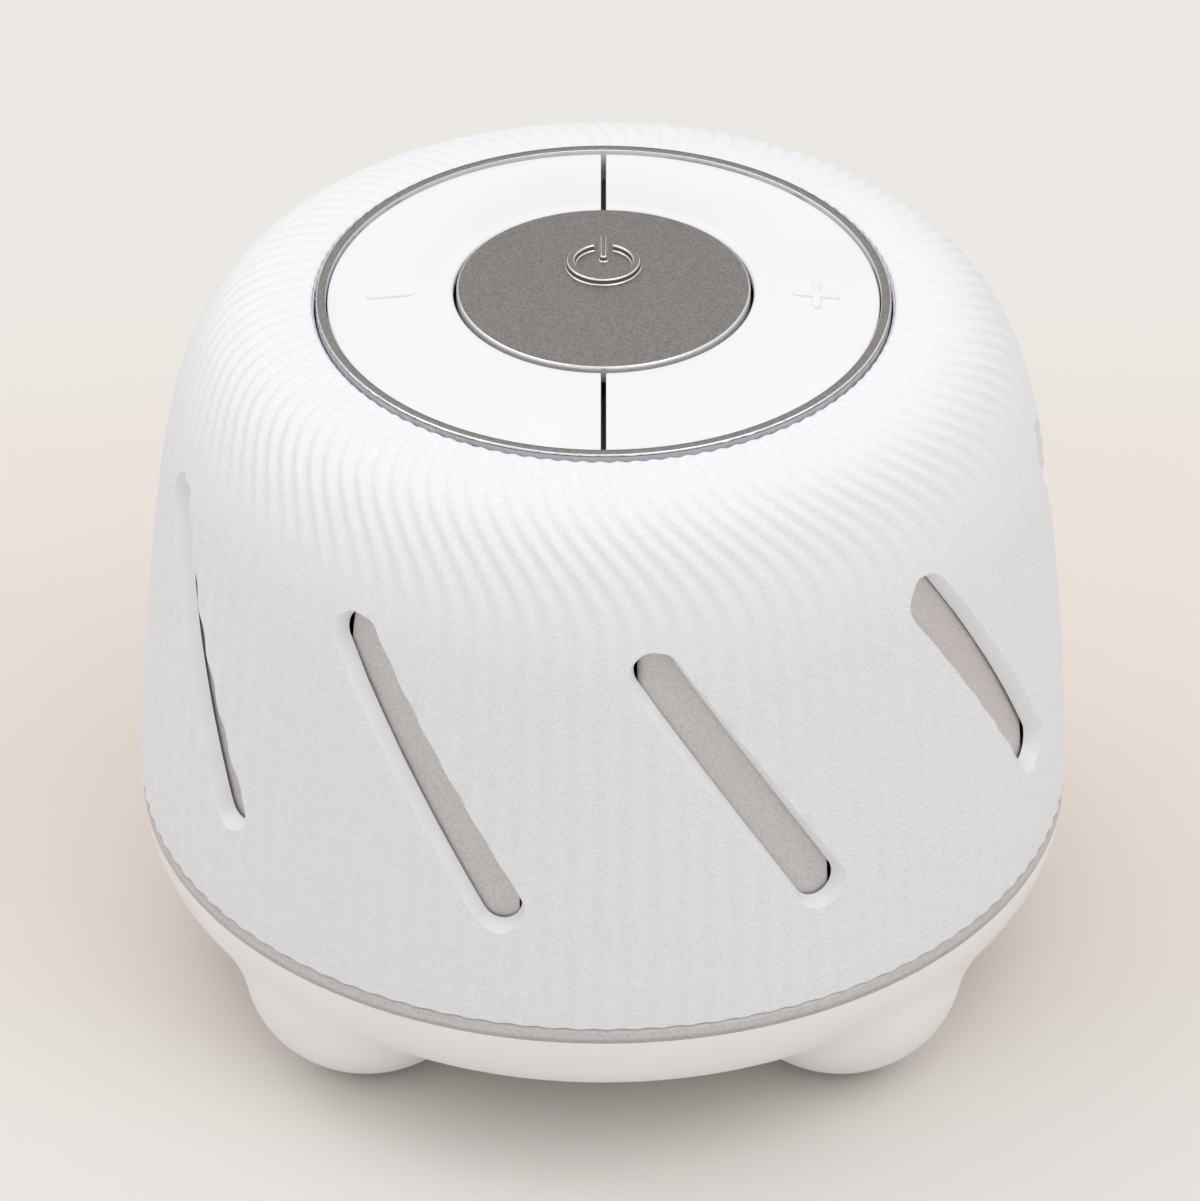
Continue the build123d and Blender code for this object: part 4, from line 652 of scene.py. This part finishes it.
def slot_cutter():
    """A stadium with flared walls and a rounded lip, wrapped on the cover at the first slot."""
    levels, around = slot_levels(), slot_outline()
    slant = radians(SLOT_SLANT)
    points = []
    for rise, width in levels:
        for angle, shift in around:
            across, along = width * cos(angle), shift + width * sin(angle)
            sideways = across * cos(slant) - along * sin(slant)
            height = SLOT_MID_H + along * cos(slant) + across * sin(slant)
            surface = np.interp(height, OUTLINE[:, 1], OUTLINE[:, 0])
            azimuth = radians(SLOT_AZIMUTH) + sideways / surface
            radius = surface + rise
            points.append((radius * sin(azimuth), -radius * cos(azimuth), FOOT_Z + height))
    count = len(around)
    faces = []
    for level in range(len(levels) - 1):
        for k in range(count):
            a, b = level * count + k, level * count + (k + 1) % count
            faces.append((a, b, b + count, a + count))
    faces.append(tuple(reversed(range(count))))
    faces.append(tuple(range((len(levels) - 1) * count, len(levels) * count)))
    cutter = mesh_object("slot_cutter", [MM * Vector(p) for p in points], faces=faces)
    edit(cutter)
    bpy.ops.mesh.normals_make_consistent(inside=False)
    done()
    return cutter


def cut_sector():
    """One ninth of the plain cover with its slot cut and its two sides closed."""
    first = SLOT_AZIMUTH - 180 / SLOTS
    section = [(r, FOOT_Z + h) for r, h in cover_section()]
    sector = turned("ribbed_cover", section, first, 360 / SLOTS, RIBS // SLOTS * RIB_COLUMNS)
    cutter = slot_cutter()
    modify(sector, "BOOLEAN", operation="DIFFERENCE", solver="EXACT", object=cutter)
    bpy.data.objects.remove(cutter)
    return sector


def below_skin(places):
    """Radius, azimuth, height, nearest point of the outline and depth below it, of points in metres."""
    x, y, z = places.T / MM
    radius = np.hypot(x, y)
    height = z - FOOT_Z
    nearest = np.empty(len(radius), int)
    for first in range(0, len(radius), MEASURED_AT_ONCE):
        part = slice(first, first + MEASURED_AT_ONCE)
        gaps = (radius[part, None] - OUTLINE[:, 0]) ** 2 + (height[part, None] - OUTLINE[:, 1]) ** 2
        nearest[part] = gaps.argmin(1)
    depth = ((OUTLINE[nearest] - np.column_stack([radius, height])) * OUTLINE_OUT[nearest]).sum(1)
    return radius, np.degrees(np.arctan2(x, -y)), height, nearest, depth


def rib_and_swirl(places):
    """Turns the points of the shoulder with the swirl and raises the ribs on the outer skin."""
    radius, azimuth, height, nearest, depth = below_skin(places)
    skin = np.clip(1 - depth / WALL, 0, 1)
    crest = np.interp(OUTLINE[nearest, 1], *zip(*RIB_DEPTHS))
    rise = skin * crest * np.cos(np.radians(RIBS * (azimuth - RIB_PHASE)))
    swirl = SWIRL * np.maximum(height - SWIRL_START_H, 0) ** 2
    radius = radius + rise * OUTLINE_OUT[nearest, 0]
    height = height + rise * OUTLINE_OUT[nearest, 1]
    turn = np.radians(azimuth - swirl)
    return np.column_stack([radius * np.sin(turn), -radius * np.cos(turn), height + FOOT_Z]) * MM


def open_sides(sector):
    """Takes off the faces that close the two sides of the sector."""
    sides = [radians(SLOT_AZIMUTH + turn * 180 / SLOTS) for turn in (-1, 1)]
    edit(sector, "DESELECT")
    done()
    for face in sector.data.polygons:
        corners = [sector.data.vertices[v].co for v in face.vertices]
        azimuths = [atan2(corner.x, -corner.y) for corner in corners]
        face.select = any(all(abs(a - side) < SAME_AZIMUTH for a in azimuths) for side in sides)
    bpy.ops.object.mode_set(mode="EDIT")
    bpy.ops.mesh.delete(type="FACE")
    done()


def make_cover(finish, wall_finish):
    """The ribbed cover: a ninth is turned, cut and copied round, then the ribs are raised."""
    cover = cut_sector()
    open_sides(cover)
    edit(cover)
    round_trip = 2 * pi * (SLOTS - 1) / SLOTS
    bpy.ops.mesh.spin(steps=SLOTS - 1, dupli=True, angle=round_trip, center=(0, 0, 0), axis=(0, 0, 1))
    close_up()
    move_points(cover, rib_and_swirl)
    finish_piece(cover, "cover", "outer_cover", "ribbed_white_shell", finish, wall_finish)
    centres = np.empty(len(cover.data.polygons) * 3)
    cover.data.polygons.foreach_get("center", centres)
    _, _, height, _, depth = below_skin(centres.reshape(-1, 3))
    shallow, deep = SLOT_WALL_DEPTHS
    low, high = SLOT_WALL_HEIGHTS
    walls = (depth > shallow) & (depth < deep) & (height > low) & (height < high)
    cover.data.polygons.foreach_set("material_index", walls.astype(np.int32))


# ---------------------------------------------------------------- the drum and the ring
def copied(name, node):
    """A merged copy of a node's solid."""
    piece = bpy.data.objects.new(name, frame["nodes"][node].data.copy())
    bpy.context.scene.collection.objects.link(piece)
    edit(piece)
    close_up()
    return piece


def shift_windows(places):
    """Turns the drum's windows a little further round and makes them a little narrower."""
    x, y, z = places.T / MM
    azimuth = np.degrees(np.arctan2(x, -y))
    pitch = 360 / SLOTS
    from_middle = (azimuth - WINDOW_AZIMUTH + pitch / 2) % pitch - pitch / 2
    low, high = WINDOW_HEIGHTS
    sideways, upright = WINDOW_MARGINS
    within_heights = (z > FOOT_Z + low - upright) & (z < FOOT_Z + high + upright)
    window = (np.abs(from_middle) < WINDOW_ARC / 2 + sideways) & within_heights
    turn = np.radians(azimuth + (WINDOW_TURN - WINDOW_NARROWER * from_middle) * window)
    radius = np.hypot(x, y)
    return np.column_stack([radius * np.sin(turn), -radius * np.cos(turn), z]) * MM


def make_drum(finish):
    """The drum, whose windows just show at the ends of the slots."""
    drum = copied("windowed_drum", "inner_drum")
    move_points(drum, shift_windows)
    finish_piece(drum, "chassis", "inner_drum", "silver_drum", finish)


def finer_chamfer(places):
    """Draws the points of the ring's two chamfers in towards its corners."""
    x, y, z = places.T / MM
    radius = np.hypot(x, y)
    down = RING_TOP_Z - z
    new_radius, new_z = radius.copy(), z.copy()
    reach = RING_CHAMFER + RING_MARGIN
    for corner, kept in RING_CORNERS:
        near = (np.abs(radius - corner) < reach) & (down < reach)
        new_radius[near] = corner + kept * (radius - corner)[near]
        new_z[near] = RING_TOP_Z - kept * down[near]
    scale = new_radius / radius
    return np.column_stack([x * scale, y * scale, new_z]) * MM


def make_ring(*ring_finishes):
    """The bezel ring, finished on its face, its chamfers, its wall and a line of painted shade on the wall
    under the outer chamfer.
    """
    ring = copied("fine_bezel", "bezel_ring")
    move_points(ring, finer_chamfer)
    shade_line_z = (RING_TOP_Z - RING_SHADE_LINE) * MM
    edit(ring)
    bpy.ops.mesh.bisect(plane_co=(0, 0, shade_line_z), plane_no=(0, 0, 1))
    done()
    finish_piece(ring, "chassis", "bezel_ring", "silver_trim", *ring_finishes)
    for face in ring.data.polygons:
        if face.normal.z > LACQUERED:
            face.material_index = FACE_FINISH
        elif face.normal.z > SLOPING:
            face.material_index = EDGE_FINISH
        # painted shade on the outer wall under the chamfer
        elif face.center.z > shade_line_z and face.center.xy.length > RING_WALL_R * MM:
            face.material_index = SHADE_FINISH
        else:
            face.material_index = WALL_FINISH


# ---------------------------------------------------------------- buttons
def button_top(radius):
    """Height of the side buttons' top at a radius: a curve through three points."""
    return np.polyval(np.polyfit(*zip(*BUTTON_TOP), 2), radius)


def lift_to_top(places):
    """Lifts points by the height of the side buttons' top at their place."""
    tops = button_top(np.hypot(*places.T[:2]) / MM)
    return places + [0, 0, MM] * tops[:, None]


def rounded_bar(length, width, ends):
    """Outline of a bar along x: ends gives the radius of its corners."""
    outline = []
    for x, y, first in ((1, 1, 0), (-1, 1, 90), (-1, -1, 180), (1, -1, 270)):
        for angle in np.linspace(first, first + 90, ROUND_POINTS):
            across = x * (length / 2 - ends) + ends * cos(radians(angle))
            outline.append((across, y * (width / 2 - ends) + ends * sin(radians(angle))))
    return outline


def side_sign(side, turn):
    """A raised stroke that lies along the sloping top of a side button."""
    stroke = rounded_bar(SIGN_LENGTH, SIGN_WIDTH, SIGN_END * SIGN_WIDTH)
    if turn:
        stroke = [(-y, x) for x, y in stroke]
    outline = [(side * SIGN_PLACE_R + x, y) for x, y in stroke]
    sign = raised_plate("sign", outline, -SIGN_SINK, SIGN_RAISE)
    round_edges(sign, SIGN_ROUND, SIGN_EDGE_STEPS)
    move_points(sign, lift_to_top)
    return sign


def make_side_button(side, name, finish):
    """Half of the white ring with its posts: side is -1 for minus and 1 for plus."""
    wide, drop = BUTTON_BEVEL
    bevel_r = BUTTON_INNER_R + wide
    radii = np.linspace(BUTTON_OUTER_R, bevel_r, BUTTON_TOP_POINTS)
    section = [(r, button_top(r)) for r in radii]
    section += [(BUTTON_INNER_R, button_top(bevel_r) - down) for down in (drop, BUTTON_THICK)]
    section += [(r, button_top(r) - BUTTON_THICK) for r in radii[::-1]]
    cap = turned(name, section, 0 if side > 0 else 180, 180)
    edit(cap)
    split = (side * BUTTON_SPLIT / 2 * MM, 0, 0)
    bpy.ops.mesh.bisect(plane_co=split, plane_no=(side, 0, 0), use_fill=True, clear_inner=True)
    close_up()
    round_edges(cap, BUTTON_ROUND)
    parts = [cap, side_sign(side, False)]
    if side > 0:
        parts.append(side_sign(side, True))
    for azimuth in (side * 90 - GUIDE_SPREAD, side * 90 + GUIDE_SPREAD):
        x = GUIDE_PLACE_R * sin(radians(azimuth))
        y = -GUIDE_PLACE_R * cos(radians(azimuth))
        parts += [post(GUIDE_R, BARB_Z[0], BUTTON_ROOT_Z, x, y), post(BARB_R, *BARB_Z, x, y)]
    parts.append(post(PLUNGER_R, PLUNGER_LOW_Z, BUTTON_ROOT_Z, side * SWITCH_PLACE_R, 0))
    word = "minus" if side < 0 else "plus"
    finish_piece(join(parts), word, word + "_button", "white_button", finish)


def raised_sign(name, outline):
    """A raised stroke on the power button: a hollow root, a steep wall and a round top edge."""
    points = [MM * Vector((x, y, POWER_TOP_Z - POWER_SIGN_SINK)) for x, y in outline]
    sign = mesh_object(name, points, faces=[range(len(points))])
    edit(sign)
    up = (0, 0, (POWER_SIGN_SINK - POWER_SIGN_START) * MM)
    bpy.ops.mesh.extrude_region_move(TRANSFORM_OT_translate={"value": up})
    for narrower, higher in SIGN_STEPS:
        bpy.ops.mesh.inset(thickness=narrower * MM, depth=higher * MM, use_even_offset=True)
    close_up()
    return sign


def power_sign():
    """The raised broken ring and its bar; their stated widths are those on top of the wall."""
    foot = POWER_SIGN_LINE / 2 + sum(narrower for narrower, higher in SIGN_STEPS[:SIGN_WALL_STEPS])
    half, height = foot, POWER_TOP_Z - POWER_SIGN_START
    outside = [(half, POWER_TOP_Z - POWER_SIGN_SINK), (half, height)]
    for narrower, higher in SIGN_STEPS:
        half, height = half - narrower, height + higher
        outside.append((half, height))
    middle_r = POWER_SIGN_R - POWER_SIGN_LINE / 2
    section = [(middle_r + w, z) for w, z in outside] + [(middle_r - w, z) for w, z in reversed(outside)]
    first, arc = POWER_SIGN_GAP / 2 - 180, 360 - POWER_SIGN_GAP
    ring = turned("sign_ring", section, first, arc, POWER_SIGN_TURN_STEPS, POWER_SIGN_Y)
    wide = POWER_SIGN_BAR_LINE + 2 * foot - POWER_SIGN_LINE
    bar = rounded_bar(wide, POWER_SIGN_BAR, POWER_SIGN_BAR_END * wide)
    middle = POWER_SIGN_Y + POWER_SIGN_BAR_FOOT + POWER_SIGN_BAR / 2
    return [ring, raised_sign("sign_bar", [(x, middle + y) for x, y in bar])]


def power_cap(ceiling):
    """The round button's cap, with a plug that closes its middle."""
    edge_r, edge_z = POWER_R - POWER_ROUND, POWER_TOP_Z - POWER_ROUND
    turns = np.radians(np.linspace(0, 90, ROUND_POINTS))
    section = [(edge_r + POWER_ROUND * cos(a), edge_z + POWER_ROUND * sin(a)) for a in turns]
    section += [(POWER_MIDDLE_R, POWER_TOP_Z), (POWER_MIDDLE_R, ceiling)]
    skirt_r = POWER_R - POWER_SKIRT
    section += [(skirt_r, ceiling), (skirt_r, POWER_LOW_Z), (POWER_R, POWER_LOW_Z)]
    return [turned("power_cap", section), post(POWER_MIDDLE_R, ceiling, POWER_TOP_Z, 0, 0)]


def make_power_button(*button_finishes):
    """The round button, finished on its face, its edge, its wall and the wall of its sign, which gets
    painted shade.
    """
    ceiling = POWER_TOP_Z - POWER_THICK
    root = ceiling + POWER_POST_SINK
    parts = [*power_cap(ceiling), *power_sign()]
    for azimuth in POWER_GUIDE_AZIMUTHS:
        x = POWER_GUIDE_PLACE_R * sin(radians(azimuth))
        y = -POWER_GUIDE_PLACE_R * cos(radians(azimuth))
        parts += [post(GUIDE_R, BARB_Z[0], root, x, y), post(BARB_R, *BARB_Z, x, y)]
    parts.append(post(PLUNGER_R, PLUNGER_LOW_Z, root, 0, 0))
    button = join(parts)
    finish_piece(button, "power", "power_button", "silver_button", *button_finishes)
    wall_r, wall_z = (POWER_R - POWER_WALL_MARGIN) * MM, (POWER_TOP_Z - POWER_ROUND) * MM
    sign_z = (POWER_TOP_Z + SIGN_WALL_START) * MM
    for face in button.data.polygons:
        if face.center.z < wall_z and face.center.xy.length > wall_r:
            face.material_index = WALL_FINISH
        # the sign's walls get painted shade
        elif face.center.z > sign_z and abs(face.normal.z) < SLOPING:
            face.material_index = SHADE_FINISH
        elif face.normal.z > LEVEL:
            face.material_index = FACE_FINISH
        else:
            face.material_index = EDGE_FINISH


# ---------------------------------------------------------------- stage, lights, camera
CAMERA_AWAY = 1300.6      # mm
CAMERA_RISE = 0.603       # radians above level
CAMERA_AIM_Z = 57.54      # mm, on the machine's axis
CAMERA_LENS = 259.76      # mm
CAMERA_SENSOR = 36.0      # mm high
FRAME_HEIGHT = 1201       # pixels
CAMERA_SHIFT = -3.5       # pixels, sideways
CAMERA_SIGHT = 100.0      # m
FLOOR = 12.0              # m square
# Painted shade: the floor is warmer and darker in a band beside and behind the machine.
SHADE_BAND_Y = 60.0        # mm, the middle of the floor's warmer band
SHADE_BAND_REACH = (20.0, 120.0)   # mm from there: warmest up to the first, plain from the second
DOME_STRENGTHS = (0.05, 0.88)  # at the horizon, and overhead
DOME_RISES = (0.0, 0.35)  # sines of the rises between which it grows
SOFTBOX_AZIMUTHS = {"front_softbox": 55, "back_softbox": -115}
SOFTBOX_RISE = 60         # degrees
SOFTBOX_AWAY = 1.5        # m
SOFTBOX_SIZE = 0.9        # m
SOFTBOX_POWER = 2.55      # W
SOFTBOX_AIM_Z = 60.0      # mm


def make_camera():
    """The camera, which looks down at the machine's front."""
    data = bpy.data.cameras.new("camera")
    camera = bpy.data.objects.new("camera", data)
    bpy.context.scene.collection.objects.link(camera)
    data.sensor_fit = "VERTICAL"
    data.sensor_height = CAMERA_SENSOR
    data.lens = CAMERA_LENS
    data.shift_x = CAMERA_SHIFT / FRAME_HEIGHT
    data.clip_end = CAMERA_SIGHT
    away = CAMERA_AWAY * MM
    camera.location = (0, -away * cos(CAMERA_RISE), CAMERA_AIM_Z * MM + away * sin(CAMERA_RISE))
    camera.rotation_euler = (pi / 2 - CAMERA_RISE, 0, 0)
    bpy.context.scene.camera = camera


def softbox(name, azimuth):
    """A square soft light that looks at the machine from above."""
    data = bpy.data.lights.new(name, "AREA")
    data.shape = "SQUARE"
    data.size = SOFTBOX_SIZE
    data.energy = SOFTBOX_POWER
    light = bpy.data.objects.new(name, data)
    bpy.context.scene.collection.objects.link(light)
    turn, lift = radians(azimuth), radians(SOFTBOX_RISE)
    way = Vector((sin(turn) * cos(lift), -cos(turn) * cos(lift), sin(lift)))
    light.location = Vector((0, 0, SOFTBOX_AIM_Z * MM)) + SOFTBOX_AWAY * way
    light.rotation_euler = way.to_track_quat("Z", "Y").to_euler()


def pale_floor():
    """Matt pale paper with a warmer, darker band of painted shade beside and behind the machine; it keeps
    the machine's shadow.
    """
    material, tree, shader, place = start("pale_paper", Roughness=0.9)
    along = add(tree, "ShaderNodeSeparateXYZ", {0: place}).outputs[1]
    from_band = add(tree, "ShaderNodeMath", {0: along, 1: SHADE_BAND_Y * MM}, operation="SUBTRACT")
    distance = add(tree, "ShaderNodeMath", {0: from_band.outputs[0]}, operation="ABSOLUTE")
    plain = spread(tree, distance.outputs[0], 0.0, 1.0, *(reach * MM for reach in SHADE_BAND_REACH))
    tree.links.new(two_tone(tree, plain, "#ECE1D8", "#EBE8E3"), shader.inputs["Base Color"])
    grain(tree, shader, noise(tree, place, PAPER_GRAIN), PAPER_DEPTH)
    return material


def overhead_dome():
    """Soft white light, strong from above and weak from the sides."""
    world = bpy.data.worlds.new("studio")
    world.use_nodes = True
    bpy.context.scene.world = world
    tree = world.node_tree
    tree.nodes.clear()
    way = add(tree, "ShaderNodeTexCoord").outputs["Generated"]
    height = add(tree, "ShaderNodeSeparateXYZ", {0: way}).outputs[2]
    strength = spread(tree, height, *DOME_STRENGTHS, *DOME_RISES)
    dome = add(tree, "ShaderNodeBackground", {"Color": linear("#FFFFFF"), "Strength": strength})
    backdrop = add(tree, "ShaderNodeBackground", {"Color": linear("#EBE8E3")})
    seen = add(tree, "ShaderNodeLightPath").outputs["Is Camera Ray"]
    shown = add(tree, "ShaderNodeMixShader", {0: seen, 1: dome.outputs[0], 2: backdrop.outputs[0]})
    add(tree, "ShaderNodeOutputWorld", {"Surface": shown.outputs[0]})


def make_stage():
    """The floor, the dome and the softboxes."""
    bpy.ops.object.select_all(action="DESELECT")
    bpy.ops.mesh.primitive_plane_add(size=FLOOR, location=(0, 0, 0))
    floor = bpy.context.active_object
    floor.name = "floor"
    floor.data.materials.append(pale_floor())
    overhead_dome()
    for name, azimuth in SOFTBOX_AZIMUTHS.items():
        softbox(name, azimuth)


# ---------------------------------------------------------------- the whole machine
make_camera()
make_stage()
finishes = make_finishes()
dress_nodes(finishes)
# Smooth ABS from the polished side cores that form the slots, without grain; it is whiter than the cover
# as painted light, for the light the slot walls catch.
lit_slot_wall = moulded("smooth_white_abs_painted_light", "#F8F8FA", "#FBFBFD", 0.4, 0.4, 0.004)
# Satin silver plastic, unlacquered: even and pale.
satin_wall = moulded("satin_silver_abs", "#CDCCD2", "#D6D5DB", 0.45, 0.3, 0.004, 6.0)
# The same plastic, a shade greyer, on the power button's wall.
grey_wall = moulded("satin_grey_abs", "#B1AFB2", "#BAB8BA", 0.45, 0.3, 0.004, 6.0)
# Painted shade: dark silver lacquer on the ring's wall under its outer chamfer and on the walls of the
# power button's sign, where shade falls.
painted_shade_lacquer = silver_paint("painted_shade_silver_lacquer", "#6A6663", "#7A7572", 0.6, 0.3)
# Charcoal ABS of the deck, seen in the split between the buttons; its dark tone also stands in for the
# shade deep in that split, as painted shade.
dark_deck_and_shade_finish = moulded("charcoal_abs_and_painted_shade", "#5F5B58", "#676360", 0.5, 0.3, 0.005)
frame["nodes"]["top_deck"].data.materials[0] = dark_deck_and_shade_finish
cut_edge = polished_edge()
make_cover(finishes["ribbed_white_shell"], lit_slot_wall)
make_drum(finishes["silver_drum"])
make_ring(finishes["silver_trim"], cut_edge, satin_wall, painted_shade_lacquer)
make_side_button(-1, "minus_half", finishes["white_button"])
make_side_button(1, "plus_half", finishes["white_button"])
make_power_button(finishes["silver_button"], cut_edge, grey_wall, painted_shade_lacquer)

bpy.context.scene.view_settings.view_transform = "Standard"
